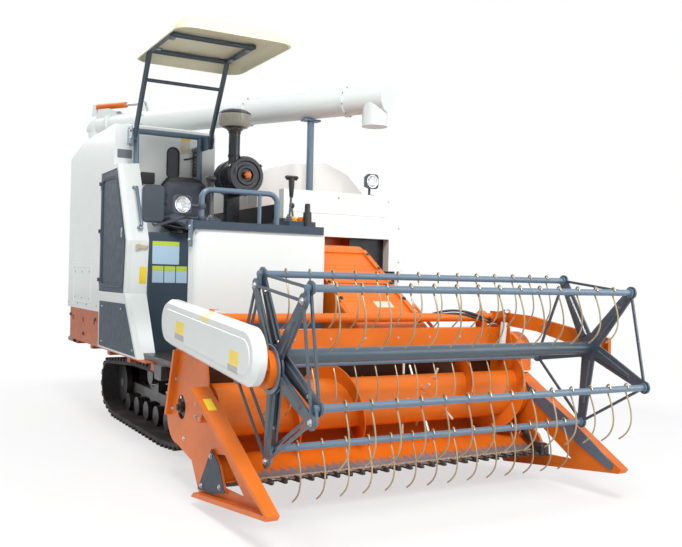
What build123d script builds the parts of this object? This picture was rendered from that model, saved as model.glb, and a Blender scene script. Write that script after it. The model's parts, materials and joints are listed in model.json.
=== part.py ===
from build123d import *
from math import acos, atan2, cos, degrees, hypot, pi, radians, sin
import os

# Tracked full-feed rice combine harvester, built as its separate pieces.
# Millimetres. +X forward, +Y to the machine's left, +Z up, ground at Z = 0,
# and X = Y = 0 under the middle of the whole machine.

# ------------------------------------------------------------------ sizes
# General
SHEET = 8                 # thickness of a folded sheet-metal wall
SEAT_GAP = 0.3            # a piece lies this far off the round seat that carries it
RUN_GAP = 6               # least gap between pieces that move past each other

# Running gear
TRACK_CENTRE_Y = 585      # centre line of each track from the middle
TRACK_WIDTH = 430
BELT = 26                 # rubber belt without its lugs
LUG_HEIGHT = 24
LUG_LENGTH = 44           # along the belt
LUG_PITCH = 92
SPROCKET_X, SPROCKET_Z, SPROCKET_R = 30, 290, 215
IDLER_X, IDLER_Z, IDLER_R = -1800, 270, 170
ROLLER_R = 75
ROLLER_FRONT_X, ROLLER_REAR_X, ROLLER_COUNT = -255, -1600, 6
CARRIER_X, CARRIER_Z = -960, 425
SPROCKET_TEETH = 12
HUB_R = 34                # boss of a track wheel
WHEEL_DISC = 46           # thickness of each disc of a double roller
FRAME_WEB = 60            # width of the track frame beam
STAY_X = (-1450, -430)    # cross stays between the track frames and the rails

# Chassis
RAIL_Y = 300              # centre of each main rail
RAIL_WIDTH = 80
RAIL_BOTTOM, DECK_Z = 575, 650
BEAM_BOTTOM = RAIL_BOTTOM + 15          # underside of the cross beams
CHASSIS_REAR, CHASSIS_FRONT = -2200, 210
BODY_HALF = 1050          # half width of the bodywork
WIDTH_HALF = 1150         # half width over the header's covers
SILL_TOP = 920            # underside of the grain tank
TOW_EYE_R, TOW_EYE_Z = 14, 610

# Grain tank, right side
TANK_REAR, TANK_FRONT = -2285, -710
TANK_LEFT = -260
TANK_TOP = 2345
TANK_TOP_REAR = 2255      # height of the chamfered rear top corner
TANK_CHAMFER_X = -1730
TANK_WALL = 10
WINDOW_Y, WINDOW_Z = -600, 2085         # oval window in the tank's front
WINDOW_RUN, WINDOW_WIDTH = 150, 90

# Radiator pod and operator's station
POD_WIDTH = 130           # the pod between the tank side and the seat
POD_TOP = 2035
POD_HEAD_X = TANK_FRONT + 110
POD_EDGE = ((-300, 1460), (-335, 1085))   # X, Z of the bends in the pod's leaning front edge
POD_FOOT_X = 20
POD_TURN = 90             # the pod's front face stands this far forward on its inner side
PANEL_THICK, PANEL_RECESS = 8, 6        # slate panel under the side cover
COVER_REAR = -1100        # rear edge of the hinged side cover
COVER_BOTTOM, COVER_TOP = 1090, 1998
COVER_BORDER = 45         # white border between the cover and the pod's front edge
COVER_THICK = 30
KNUCKLE_R, HINGE_PIN_R = 8, 4
COVER_HINGE_X, COVER_HINGE_Y = COVER_REAR - 6, -BODY_HALF - KNUCKLE_R
COVER_HINGE_Z = (1130, 1510, 1880)      # foot of each hinge of the side cover
FLOOR_THICK = 40
FLOOR_Z = DECK_Z + FLOOR_THICK          # top of the operator's floor
STEP_X, STEP_LENGTH, STEP_DEPTH = 420, 140, 90
STATION_LEFT = -60        # left side of the operator's station
PANEL_X = -210            # front face of the engine cover
ENGINE_TOP = 1520         # seat deck
COWL_X = 790              # front face of the cowl
COWL_DEPTH = 70
COWL_TOP = 1500
BAND_BOTTOM, BAND_TOP = DECK_Z, 950
CAP_HEIGHT = 50
CAP_REAR = COWL_X - COWL_DEPTH - 60
CONSOLE_TOP = 1590
RAIL_X = COWL_X - 50      # guard rail, mirror arm and lamp stalk
RAIL_RIGHT, RAIL_LEFT, RAIL_TOP, RAIL_R = -BODY_HALF + 170, -380, 1745, 17
SEAT_Y, SEAT_WIDTH = -BODY_HALF + 470, 430
SEAT_BACK_TOP = 1965
MIRROR_X, MIRROR_Y = 410, -BODY_HALF - 30
LAMP_Z, LAMP_HALF = 1640, 58            # lower work lamp on the rail

# Seat frame and canopy
SEAT_FRAME_X = TANK_FRONT + 150
SEAT_FRAME_TOP = 2280
SEAT_POSTS = (-BODY_HALF + 120, -440)
SEAT_POST_R = 21
CANOPY_FOOT_X, CANOPY_FOOT_Z = SEAT_FRAME_X + 90, 2205
CANOPY_TOP_X, CANOPY_TOP_Z = -125, 2770
CANOPY_RIGHT, CANOPY_LEFT = -BODY_HALF + 80, -400
CANOPY_TUBE = 19
CROSS_Z = 2590            # cross tube between the posts
ROOF_REAR, ROOF_FRONT, ROOF_RIGHT, ROOF_LEFT = -230, 760, -BODY_HALF - 5, -275
ROOF_SKIN = 12
CLEANER_Y, CLEANER_Z, CLEANER_R = -200, 1975, 138   # air cleaner's drum
BOWL_R = 112

# Thresher, left side
THRESHER_RIGHT, THRESHER_LEFT = -30, BODY_HALF - 90
THRESHER_FRONT, THRESHER_REAR = 60, -2230
THRESHER_TOP = 1760
FRONT_BOX_X = 140         # front face of the threshing front cover
FRONT_BOX_TOP = 1860
DRUM_COVER_TOP = 2170
DRUM_COVER_FRONT = -520
POST_X = -350             # support post of the parked unloading tube

# Feeder house and header
LIFT_X, LIFT_Z = 190, 1250
FEEDER_R = 215            # the feeder's rear drum end
FEEDER_RIGHT, FEEDER_LEFT = 10, 530
FEEDER_LOW = 430          # lower front edge of the duct
TRUNNION_R, TRUNNION_LENGTH = 30, 36
HEADER_HALF = WIDTH_HALF - 105          # inner face of each header side
WALL_TOP = 920
BEAM_DEPTH = 95           # the top beam stands this far in front of the back wall
LUG_Y = HEADER_HALF - 105               # pivot lugs of the reel arms
AUGER_X, AUGER_Z = 1375, 510
AUGER_TUBE_R, AUGER_FLIGHT_R = 142, 225
FLIGHT_GAP = 15           # between the flights and the trough
FLIGHT_PITCH, FLIGHT_THICK = 400, 6
FLIGHT_MEET = (10, 530)   # inner ends of the two flights, beside the feeder
FINGER_R, FINGER_REACH = 7, 215         # rods that pass the crop into the feeder
HEADER_BACK = AUGER_X - AUGER_FLIGHT_R - FLIGHT_GAP - SHEET   # rear face of the back wall
SHAFT_R = 25
KNIFE_Z = 196             # mid-plane of the knife
KNIFE_X = 1650            # front edge of the floor's lip
LIP_LENGTH = 40
GUARD_PITCH = 76.2
DIVIDER_X = 2275          # point of each divider
DIVIDER_DEPTH = 50
SIDE_REAR = 700           # rear of the header's side plates
GUARD_LENGTH = 110
KNIFE_STROKE = 38

# Reel
REEL_X, REEL_Z = 2090, 859
REEL_R = 433
REEL_PHASE = 119.4        # angle of the first bar from +X towards +Z
BAR_COUNT = 5
STAR_Y = HEADER_HALF - 70 # mid-plane of each star
BAR_R = 17
REEL_TUBE_R = 36
TINES_PER_BAR = 14
TINE_PITCH = (2 * STAR_Y - 260) / (TINES_PER_BAR - 1)
TINE_LENGTH = 270
TINE_WIRE = 6
ECCENTRIC_DROP = 55       # the eccentric star's centre below the reel's
STAR_THICK = 10
STAR_EYE = 34             # eye at each arm's tip
STAR_RIB, RIB_TO = 8, 325 # pressed rib along each arm
STRIP_WIDTH = 14          # flat strips from tip to tip
ECCENTRIC_Y = -STAR_Y - 34
CAM_R = 88                # eccentric disc on the right arm, round the reel's journal
JOURNAL_R, JOURNAL_DEPTH = 24, 60
CRANK_PIN_R = 9
ARM_Y = HEADER_HALF + 27  # mid-plane of each reel arm
ARM_THICK = 24
ARM_PIVOT_X, ARM_PIVOT_Z = 1165, 985
ARM_TUBE_R = 28

# Cylinders
CYL_PIN_R = 10
EYE_HALF = 14             # half the width of a cylinder's eye
BARREL_SPARE = 8          # between a retracted rod and the barrel's end
# Each rod's eye is free of its pin by this much, because it runs a little off the pin's arc
LIFT_EYE_PLAY, REEL_EYE_PLAY, TOP_EYE_PLAY = 8.6, 1.3, 6.4
REEL_CYL_X, REEL_CYL_Y, REEL_CYL_Z = 1300, HEADER_HALF - 45, 770   # lower pins of the reel cylinders
REEL_CYL_EYE = (165, 40)                # rod's eye on the crank, from the arms' pivot
REEL_BARREL_R, REEL_ROD_R, REEL_BARREL_LENGTH = 22, 11, 190
LIFT_CYL_X, LIFT_CYL_Z, LIFT_CYL_Y = 265, 500, 270
LIFT_CYL_EYE = (690, -775)              # rod's eye under the feeder, from the feeder's pivot
LIFT_BARREL_R, LIFT_ROD_R, LIFT_BARREL_LENGTH = 42, 21, 440
TOP_CYL_AT = -40          # cylinder's base pin over the elbow
TOP_CYL_EYE = (370, 45)                 # rod's eye on the tube, from the tube's hinge
TOP_BARREL_R, TOP_ROD_R, TOP_BARREL_LENGTH = 27, 14, 380
TOP_RETRACT = 95          # how far this rod slides in as the tube rises

# Unloading auger
UNLOADER_X, UNLOADER_Y = -2400, -BODY_HALF + 270
UNLOADER_R = 105
UNLOADER_Z = 2590         # axis of the long tube
UNLOADER_BEARING = 30     # parked direction, degrees from +X towards +Y
UNLOADER_LENGTH = 3050
RISER_FOOT = 700
ELBOW_R = UNLOADER_R + 12
HINGE_AT = 190            # hinge pin of the long tube, from the riser along the tube
HINGE_Z, TOP_CYL_Z = UNLOADER_Z + 137, UNLOADER_Z + 198
EAR_APART = 75


# ---------------------------------------------------------------- helpers
def block(x0, x1, y0, y1, z0, z1):
    """Box between two corners."""
    return Pos((x0 + x1) / 2, (y0 + y1) / 2, (z0 + z1) / 2) * Box(x1 - x0, y1 - y0, z1 - z0)


def side_plane(y):
    """Plane whose local x, y are the machine's X, Z; it faces -Y."""
    return Plane(origin=(0, y, 0), x_dir=(1, 0, 0), z_dir=(0, -1, 0))


def front_plane(x):
    """Plane whose local x, y are the machine's Y, Z; it faces +X."""
    return Plane(origin=(x, 0, 0), x_dir=(0, 1, 0), z_dir=(1, 0, 0))


def side_prism(points, y0, y1):
    """X-Z outline from y0 up to y1."""
    return extrude(side_plane(y1) * Polygon(*points, align=None), y1 - y0, dir=(0, -1, 0))


def front_prism(points, x0, x1):
    """Y-Z outline from x0 up to x1."""
    return extrude(front_plane(x0) * Polygon(*points, align=None), x1 - x0, dir=(1, 0, 0))


def rod(start, end, radius):
    """Round bar between two points."""
    start, end = Vector(*start), Vector(*end)
    along = end - start
    base = Plane(origin=start, z_dir=along)
    return base * Cylinder(radius, along.length, align=(Align.CENTER, Align.CENTER, Align.MIN))


def disc_y(x, z, radius, y0, y1):
    """Round disc or boss with its axis along Y."""
    return rod((x, y0, z), (x, y1, z), radius)


def bent_tube(points, bend, radius):
    """Round tube along straight runs joined by arcs."""
    path = FilletPolyline(*points, radius=bend)
    start = Plane(origin=path @ 0, z_dir=path % 0)
    return sweep(start * Circle(radius), path=path)


def mirror_y(shape):
    """The same piece on the other side of the machine."""
    return mirror(shape, about=Plane.XZ)


def hull_path(wheels):
    """Tangent points and normal angles round a convex set of (x, z, radius) wheels."""
    spans = []
    for (x1, z1, r1), (x2, z2, r2) in zip(wheels, wheels[1:] + wheels[:1]):
        dx, dz = x2 - x1, z2 - z1
        length = hypot(dx, dz)
        turn = acos((r1 - r2) / length)
        angle = atan2(dz, dx) - turn
        spans.append(angle)
    return spans


def loop_edges(wheels):
    """Edges of the closed loop that wraps the wheels, listed anticlockwise in X-Z."""
    normals = hull_path(wheels)
    edges = []
    for index, (x, z, radius) in enumerate(wheels):
        angle_in, angle_out = normals[index - 1], normals[index]
        while angle_out < angle_in:
            angle_out += 2 * pi
        middle = (angle_in + angle_out) / 2
        start, mid, end = [(x + radius * cos(a), z + radius * sin(a))
                           for a in (angle_in, middle, angle_out)]
        edges.append(ThreePointArc(start, mid, end))
        x_next, z_next, r_next = wheels[(index + 1) % len(wheels)]
        edges.append(Line(end, (x_next + r_next * cos(normals[index]),
                                z_next + r_next * sin(normals[index]))))
    return edges


# ------------------------------------------------------------ running gear
def belt_wheels(extra):
    """Wheels that carry the belt, anticlockwise seen from the right, with `extra` on each radius."""
    ground = BELT + LUG_HEIGHT + ROLLER_R
    return [(ROLLER_REAR_X, ground, ROLLER_R + extra),
            (ROLLER_FRONT_X, ground, ROLLER_R + extra),
            (SPROCKET_X, SPROCKET_Z, SPROCKET_R + extra),
            (CARRIER_X, CARRIER_Z, ROLLER_R + extra),
            (IDLER_X, IDLER_Z, IDLER_R + extra)]


def track(side):
    """One closed rubber track, its lugs in its outline. side is +1 left, -1 right."""
    outer = make_face(Wire(loop_edges(belt_wheels(BELT))))
    inner = make_face(Wire(loop_edges(belt_wheels(0))))
    loop = Wire(loop_edges(belt_wheels(BELT)))
    count = int(loop.length / LUG_PITCH)
    lugs = []
    for index in range(count):
        place = loop.location_at(index / count)
        tangent = loop.tangent_at(index / count)
        middle = Vector(loop.position_at(index / count))
        outward = Vector(tangent.Y, -tangent.X, 0)
        centre = middle + outward * (LUG_HEIGHT / 2 - 1)
        turn = degrees(atan2(tangent.Y, tangent.X))
        lugs.append(Pos(centre.X, centre.Y) * Rot(0, 0, turn) * Rectangle(LUG_LENGTH, LUG_HEIGHT + 2))
    reach = make_face(Wire(loop_edges(belt_wheels(BELT + LUG_HEIGHT))))
    face = ((outer + lugs) & reach) - inner
    y_high = side * TRACK_CENTRE_Y + TRACK_WIDTH / 2
    return extrude(side_plane(y_high) * face, TRACK_WIDTH, dir=(0, -1, 0))


def roller_places():
    """X, Z and outer radius of the plain double rollers."""
    ground = BELT + LUG_HEIGHT + ROLLER_R
    step = (ROLLER_REAR_X - ROLLER_FRONT_X) / (ROLLER_COUNT - 1)
    bottom = [(ROLLER_FRONT_X + step * index, ground, ROLLER_R) for index in range(ROLLER_COUNT)]
    return bottom + [(CARRIER_X, CARRIER_Z, ROLLER_R), (IDLER_X, IDLER_Z, IDLER_R)]


def track_rollers():
    """Double rollers, carriers and idlers of both sides: two discs on a boss each."""
    pieces = []
    for side in (1, -1):
        y = side * TRACK_CENTRE_Y
        inner = FRAME_WEB / 2 + RUN_GAP
        for x, z, radius in roller_places():
            boss = disc_y(x, z, HUB_R, y - inner - WHEEL_DISC, y + inner + WHEEL_DISC)
            discs = [disc_y(x, z, radius - SEAT_GAP, y + inner, y + inner + WHEEL_DISC),
                     disc_y(x, z, radius - SEAT_GAP, y - inner - WHEEL_DISC, y - inner)]
            pieces.append(boss + discs)
    return Compound(children=pieces)


def track_frames():
    """Beam of each side with a hanger round every roller boss, and its two cross stays."""
    beam_low, beam_high = 210, 290
    hanger = HUB_R + 22
    pieces = []
    for side in (1, -1):
        y = side * TRACK_CENTRE_Y
        y0, y1 = y - FRAME_WEB / 2, y + FRAME_WEB / 2
        beam = block(IDLER_X, SPROCKET_X - SPROCKET_R - 20, y0, y1, beam_low, beam_high)
        places = roller_places()
        beam += [block(x - hanger, x + hanger, y0, y1, min(z, beam_low), max(z, beam_high)) for x, z, _ in places]
        beam += [disc_y(x, z, hanger, y0, y1) for x, z, _ in places]
        beam -= [disc_y(x, z, HUB_R + SEAT_GAP, y0, y1) for x, z, _ in places]
        for x in STAY_X:
            inner, outer = RAIL_Y - RAIL_WIDTH / 2, RAIL_Y + RAIL_WIDTH / 2
            stay = block(x - 50, x + 50, inner, TRACK_CENTRE_Y, beam_low + 10, beam_high - 10)
            leg = block(x - 50, x + 50, inner, outer, beam_low + 10, RAIL_BOTTOM)
            beam += [stay, leg] if side > 0 else [mirror_y(stay), mirror_y(leg)]
        pieces.append(beam)
    return Compound(children=pieces)


def drive_sprockets():
    """Toothed drive wheel at the front of each track."""
    root = SPROCKET_R - 34
    face = Circle(root)
    for index in range(SPROCKET_TEETH):
        tooth = Polygon((root - 4, -22), (SPROCKET_R - SEAT_GAP, -10),
                        (SPROCKET_R - SEAT_GAP, 10), (root - 4, 22), align=None)
        face += Rot(0, 0, index * 360 / SPROCKET_TEETH) * tooth
    for index in range(6):
        face -= Rot(0, 0, index * 60 + 30) * Pos(root * 0.62, 0) * Circle(root * 0.2)
    pieces = []
    for side in (1, -1):
        y_high = side * TRACK_CENTRE_Y + 25
        wheel = extrude(side_plane(y_high) * Pos(SPROCKET_X, SPROCKET_Z) * face, 50, dir=(0, -1, 0))
        cap_y = side * (TRACK_CENTRE_Y + 25)
        cap = disc_y(SPROCKET_X, SPROCKET_Z, 62, min(cap_y, cap_y + side * 40), max(cap_y, cap_y + side * 40))
        pieces.append(wheel + cap)
    return Compound(children=pieces)


def drive_case():
    """Travel gearbox between the tracks with its two axle housings."""
    case = block(SPROCKET_X - 170, SPROCKET_X + 160, -170, 170, 190, BEAM_BOTTOM)
    case = chamfer(case.edges().filter_by(Axis.Y), 20)
    axle_end = TRACK_CENTRE_Y - 25
    return case + [disc_y(SPROCKET_X, SPROCKET_Z, 60, -axle_end, axle_end),
                   disc_y(SPROCKET_X, SPROCKET_Z, 95, -axle_end + 60, -axle_end + 90),
                   disc_y(SPROCKET_X, SPROCKET_Z, 95, axle_end - 90, axle_end - 60)]


# ---------------------------------------------------------------- chassis
def chassis_frame():
    """Two main rails, cross beams, deck plate and the sills that carry the bodies."""
    rails = []
    for side in (1, -1):
        y = side * RAIL_Y
        rails.append(block(CHASSIS_REAR, CHASSIS_FRONT, y - RAIL_WIDTH / 2, y + RAIL_WIDTH / 2,
                           RAIL_BOTTOM, DECK_Z - SHEET))
    deck = block(CHASSIS_REAR, CHASSIS_FRONT, -BODY_HALF, BODY_HALF - 90, DECK_Z - SHEET, DECK_Z)
    frame = deck + rails
    span = CHASSIS_FRONT - CHASSIS_REAR
    for index in range(5):
        x = CHASSIS_REAR + 40 + index * (span - 80) / 4
        frame += block(x - 40, x + 40, -BODY_HALF + 60, BODY_HALF - 90, BEAM_BOTTOM, DECK_Z - SHEET)
    sill = block(TANK_REAR + 120, COVER_REAR, -BODY_HALF, -BODY_HALF + 26, DECK_Z, SILL_TOP)
    for index in range(3):
        x = TANK_REAR + 240 + index * 400
        sill -= disc_y(x, SILL_TOP - 90, 22, -BODY_HALF - 1, -BODY_HALF + 30)
    inner_sill = block(TANK_REAR + 120, COVER_REAR, TANK_LEFT - 60, TANK_LEFT - 34, DECK_Z, SILL_TOP)
    ears = []
    for y in (LIFT_CYL_Y - EYE_HALF - 15, LIFT_CYL_Y + EYE_HALF + 3):
        ears.append(side_prism([(CHASSIS_FRONT - 90, RAIL_BOTTOM + 20), (CHASSIS_FRONT, RAIL_BOTTOM + 20),
                                (LIFT_CYL_X + 16, LIFT_CYL_Z + 8), (LIFT_CYL_X + 12, LIFT_CYL_Z - 18),
                                (LIFT_CYL_X - 20, LIFT_CYL_Z - 18), (CHASSIS_FRONT - 90, LIFT_CYL_Z + 20)],
                               y, y + 12))
    pin = disc_y(LIFT_CYL_X, LIFT_CYL_Z, CYL_PIN_R, LIFT_CYL_Y - EYE_HALF - 15, LIFT_CYL_Y + EYE_HALF + 15)
    tow_eyes = []
    for side in (1, -1):
        y = side * RAIL_Y
        eye = block(CHASSIS_REAR - 75, CHASSIS_REAR, y - 9, y + 9, TOW_EYE_Z - 28, TOW_EYE_Z + 28)
        eye = fillet(eye.edges().filter_by(Axis.Y).sort_by(Axis.X)[:2], 24)
        tow_eyes.append(eye - disc_y(CHASSIS_REAR - 45, TOW_EYE_Z, TOW_EYE_R, y - 9, y + 9))
    return frame + [sill, inner_sill, pin, riser_bearing()] + ears + tow_eyes


def riser_bearing():
    """Bracket behind the deck with the ring that carries the unloading auger's riser."""
    x, y = UNLOADER_X, UNLOADER_Y
    foot = block(x - UNLOADER_R, CHASSIS_REAR + 80, y - 140, y + 140, DECK_Z - SHEET, RISER_FOOT - SEAT_GAP)
    ring = rod((x, y, DECK_Z), (x, y, RISER_FOOT + 40), UNLOADER_R + 15)
    ring -= rod((x, y, RISER_FOOT - SEAT_GAP), (x, y, RISER_FOOT + 60), UNLOADER_R + SEAT_GAP)
    return foot + ring


def fuel_tank():
    """Fuel tank on the deck under the grain tank."""
    tank = block(-1560, -960, -BODY_HALF + 60, TANK_LEFT - 90, DECK_Z, SILL_TOP - 25)
    return fillet(tank.edges().filter_by(Axis.Y), 40)


# ------------------------------------------------------------- grain tank
def grain_tank():
    """Hollow grain tank with a chamfered rear top and a tall oval window in its front."""
    outline = [(TANK_REAR, SILL_TOP), (TANK_FRONT, SILL_TOP), (TANK_FRONT, TANK_TOP),
               (TANK_CHAMFER_X, TANK_TOP), (TANK_REAR, TANK_TOP_REAR)]
    wall = TANK_WALL
    inside = [(TANK_REAR + wall, SILL_TOP + wall), (TANK_FRONT - wall, SILL_TOP + wall),
              (TANK_FRONT - wall, TANK_TOP - wall), (TANK_CHAMFER_X, TANK_TOP - wall),
              (TANK_REAR + wall, TANK_TOP_REAR - wall)]
    shell = side_prism(outline, -BODY_HALF, TANK_LEFT)
    step = COVER_THICK + RUN_GAP
    shell -= block(COVER_REAR - RUN_GAP, TANK_FRONT, -BODY_HALF, -BODY_HALF + step, SILL_TOP, COVER_TOP + RUN_GAP)
    shell -= side_prism(inside, -BODY_HALF + step + wall, TANK_LEFT - wall)
    slot = SlotCenterToCenter(WINDOW_RUN, WINDOW_WIDTH, rotation=90)
    window = front_plane(TANK_FRONT - wall) * Pos(WINDOW_Y, WINDOW_Z) * slot
    return (shell - extrude(window, wall, dir=(1, 0, 0))) + cover_hinges(False)


def tank_window():
    """Glass of the tank's oval window."""
    slot = SlotCenterToCenter(WINDOW_RUN, WINDOW_WIDTH - SEAT_GAP, rotation=90)
    face = front_plane(TANK_FRONT - TANK_WALL + 2) * Pos(WINDOW_Y, WINDOW_Z) * slot
    return extrude(face, 5, dir=(1, 0, 0))


def pod_front():
    """X, Z points of the pod's leaning front edge on its outer side, top to bottom."""
    return [(POD_HEAD_X, POD_TOP), *POD_EDGE, (POD_FOOT_X, DECK_Z)]


def pod_body():
    """Solid of the pod between the side cover and the seat, its front face turned a little outwards."""
    back = [(TANK_FRONT, DECK_Z), (TANK_FRONT, POD_TOP)]
    turned = [(x + POD_TURN * min(1, (z - DECK_Z) / 400), z) for x, z in pod_front()]
    outer = side_plane(-BODY_HALF + COVER_THICK + RUN_GAP) * Polygon(*(back + pod_front()), align=None)
    inner = side_plane(-BODY_HALF + POD_WIDTH) * Polygon(*(back + turned), align=None)
    return loft([outer, inner], ruled=True)


def cover_front(spare):
    """X, Z points of the side cover's front edge, bottom to top, moved forward by `spare`."""
    middle = [(x, z) for x, z in pod_front() if COVER_BOTTOM < z < COVER_TOP]
    points = [(front_x(COVER_BOTTOM), COVER_BOTTOM - spare), *reversed(middle), (front_x(COVER_TOP), COVER_TOP + spare)]
    return [(x - COVER_BORDER + spare, z) for x, z in points]


def front_pillar():
    """Pod beside the seat whose front face is a leaning strip, its outer skin round the side cover, and its handle."""
    y0 = -BODY_HALF + COVER_THICK + RUN_GAP
    y1 = -BODY_HALF + POD_WIDTH
    sill = COVER_BOTTOM - RUN_GAP
    skin = side_prism([(COVER_REAR, DECK_Z), (COVER_REAR, sill), (TANK_FRONT, sill), (TANK_FRONT, POD_TOP)]
                      + pod_front(), -BODY_HALF, y0)
    skin -= side_prism([(TANK_FRONT - 1, COVER_BOTTOM - RUN_GAP)] + cover_front(RUN_GAP)
                       + [(TANK_FRONT - 1, COVER_TOP + RUN_GAP)], -BODY_HALF, y0)
    skin -= side_prism(lower_panel_outline(0), -BODY_HALF, -BODY_HALF + PANEL_RECESS)
    y = (y0 + y1) / 2
    x_top, x_low = front_x(1850) + POD_TURN / 2, front_x(1560) + POD_TURN / 2
    handle = bent_tube([(x_top - 30, y, 1846), (x_top + 60, y, 1860), (x_low + 75, y, 1560), (x_low - 30, y, 1546)],
                       25, 11)
    return pod_body() + [skin, handle]


def lower_panel_outline(inset):
    """X, Z outline of the panel under the side cover."""
    low, high = DECK_Z + 12 + inset, COVER_BOTTOM - 80 - inset
    rear, border = COVER_REAR + 30 + inset, COVER_BORDER + inset
    return [(rear, low), (rear, high), (front_x(high) - border, high), (front_x(low) - border, low)]


def lower_panel():
    """Slate panel let into the skin under the side cover."""
    y0 = -BODY_HALF + PANEL_RECESS - PANEL_THICK
    return side_prism(lower_panel_outline(SEAT_GAP), y0, -BODY_HALF + PANEL_RECESS)


def front_x(z):
    """X of the pod's leaning front edge at height z."""
    points = pod_front()
    for (x1, z1), (x2, z2) in zip(points, points[1:]):
        if z2 <= z <= z1:
            return x1 + (x2 - x1) * (z1 - z) / (z1 - z2)
    return points[0][0]


def cover_hinges(on_cover):
    """The side cover's three hinges: bored leaves of the cover, or the tank's leaves with their pins."""
    x, y = COVER_HINGE_X, COVER_HINGE_Y
    leaves = []
    for z in COVER_HINGE_Z:
        if on_cover:
            leaf = block(x, x + 44, -BODY_HALF - 4, -BODY_HALF, z + 30, z + 58)
            leaf += rod((x, y, z + 30), (x, y, z + 58), KNUCKLE_R)
            leaf -= rod((x, y, z + 20), (x, y, z + 70), HINGE_PIN_R + SEAT_GAP)
        else:
            leaf = block(x - 44, x, -BODY_HALF - 4, -BODY_HALF, z, z + 28)
            leaf += [rod((x, y, z), (x, y, z + 28), KNUCKLE_R), rod((x, y, z), (x, y, z + 62), HINGE_PIN_R)]
        leaves.append(leaf)
    return leaves


def side_cover():
    """Hinged cover of the radiator with its screen recess."""
    edge = cover_front(0)
    cover = side_prism([(COVER_REAR, COVER_BOTTOM)] + edge + [(COVER_REAR, COVER_TOP)],
                       -BODY_HALF, -BODY_HALF + COVER_THICK)
    low, high = COVER_BOTTOM + 60, COVER_TOP - 60
    screen = [(COVER_REAR + 60, low), (edge[0][0] - 60, low), (edge[1][0] - 60, edge[1][1]),
              (edge[2][0] - 60, high), (COVER_REAR + 60, high)]
    cover -= side_prism(screen, -BODY_HALF, -BODY_HALF + 6)
    return cover + cover_hinges(True)


# ------------------------------------------------------ operator's station
def engine_block():
    """Engine as one plain block at its real place and size."""
    return block(-690, -250, -BODY_HALF + 150, -330, DECK_Z, 1330)


def engine_cover():
    """Folded cover under the seat: front panel, seat deck and left wall."""
    y0, y1 = -BODY_HALF + POD_WIDTH, -300
    outer = block(TANK_FRONT, PANEL_X, y0, y1, DECK_Z, ENGINE_TOP)
    inner = block(TANK_FRONT, PANEL_X - 20, y0, y1 - SHEET, DECK_Z, ENGINE_TOP - 20)
    return outer - inner


def operator_floor():
    """Floor plate on the deck, the ribs that carry its front end, and the footstep under its edge."""
    y0, y1 = -BODY_HALF + 50, STATION_LEFT
    front = COWL_X - COWL_DEPTH
    floor = block(PANEL_X, front, y0, y1, FLOOR_Z - FLOOR_THICK, FLOOR_Z)
    rib = [(CHASSIS_FRONT, BEAM_BOTTOM), (CHASSIS_FRONT, DECK_Z), (front - 20, DECK_Z), (front - 60, DECK_Z - 25)]
    for y in (y0 + 60, -RAIL_Y, y1 - 60):
        floor += side_prism(rib, y, y + 12)
    step = block(STEP_X - STEP_LENGTH / 2, STEP_X + STEP_LENGTH / 2, y0 - 30, y0 + 50, DECK_Z - STEP_DEPTH, DECK_Z)
    floor += fillet(step.edges().filter_by(Axis.Y).sort_by(Axis.Z)[:2], 20)
    return floor - pod_body()


def front_cowl():
    """Smooth white cowl in front of the operator, rounded at its outer corner."""
    y0, y1 = -BODY_HALF + 100, STATION_LEFT
    shell = block(COWL_X - COWL_DEPTH, COWL_X, y0, y1, BAND_TOP, COWL_TOP)
    edge = shell.edges().filter_by(Axis.Z).sort_by(Axis.X)[-2:].sort_by(Axis.Y)[0]
    return fillet(edge, COWL_DEPTH * 0.9)


def cowl_trim():
    """Dark cap along the top of the cowl and the band under it."""
    y0, y1 = -BODY_HALF + 92, STATION_LEFT
    cap = block(CAP_REAR, COWL_X + 12, y0, y1, COWL_TOP, COWL_TOP + CAP_HEIGHT)
    band = block(COWL_X - COWL_DEPTH, COWL_X + 10, y0, y1, BAND_BOTTOM, BAND_TOP)
    return Compound(children=[fillet(cap.edges().filter_by(Axis.Z), 30),
                              fillet(band.edges().filter_by(Axis.Z).sort_by(Axis.X)[-1:], 8)])


def side_console():
    """Lever console along the operator's left."""
    top = block(PANEL_X, COWL_X - COWL_DEPTH - 60, STATION_LEFT - 190, STATION_LEFT, COWL_TOP - 20, CONSOLE_TOP)
    side = block(PANEL_X, COWL_X - COWL_DEPTH, STATION_LEFT - 30, STATION_LEFT, FLOOR_Z, COWL_TOP - 20)
    return top + side


def control_levers():
    """Levers with their knobs on the console, and the steering lever on the cowl's cap."""
    cap_top = COWL_TOP + CAP_HEIGHT
    # x, y, foot height, lean along X, top height, knob radius
    rows = [(600, -150, CONSOLE_TOP, 10, 1900, 22), (430, -120, CONSOLE_TOP, -12, 1720, 20),
            (300, -180, CONSOLE_TOP, 0, 1700, 20), (CAP_REAR + 20, -800, cap_top, -14, 1830, 28)]
    levers = []
    for x, y, foot, lean, top, knob in rows:
        boot = rod((x, y, foot), (x, y, foot + 14), 16)
        stick = rod((x, y, foot + 7), (x + lean, y, top), 8)
        levers.append(boot + [stick, Pos(x + lean, y, top) * Sphere(knob)])
    return Compound(children=levers)


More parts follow.
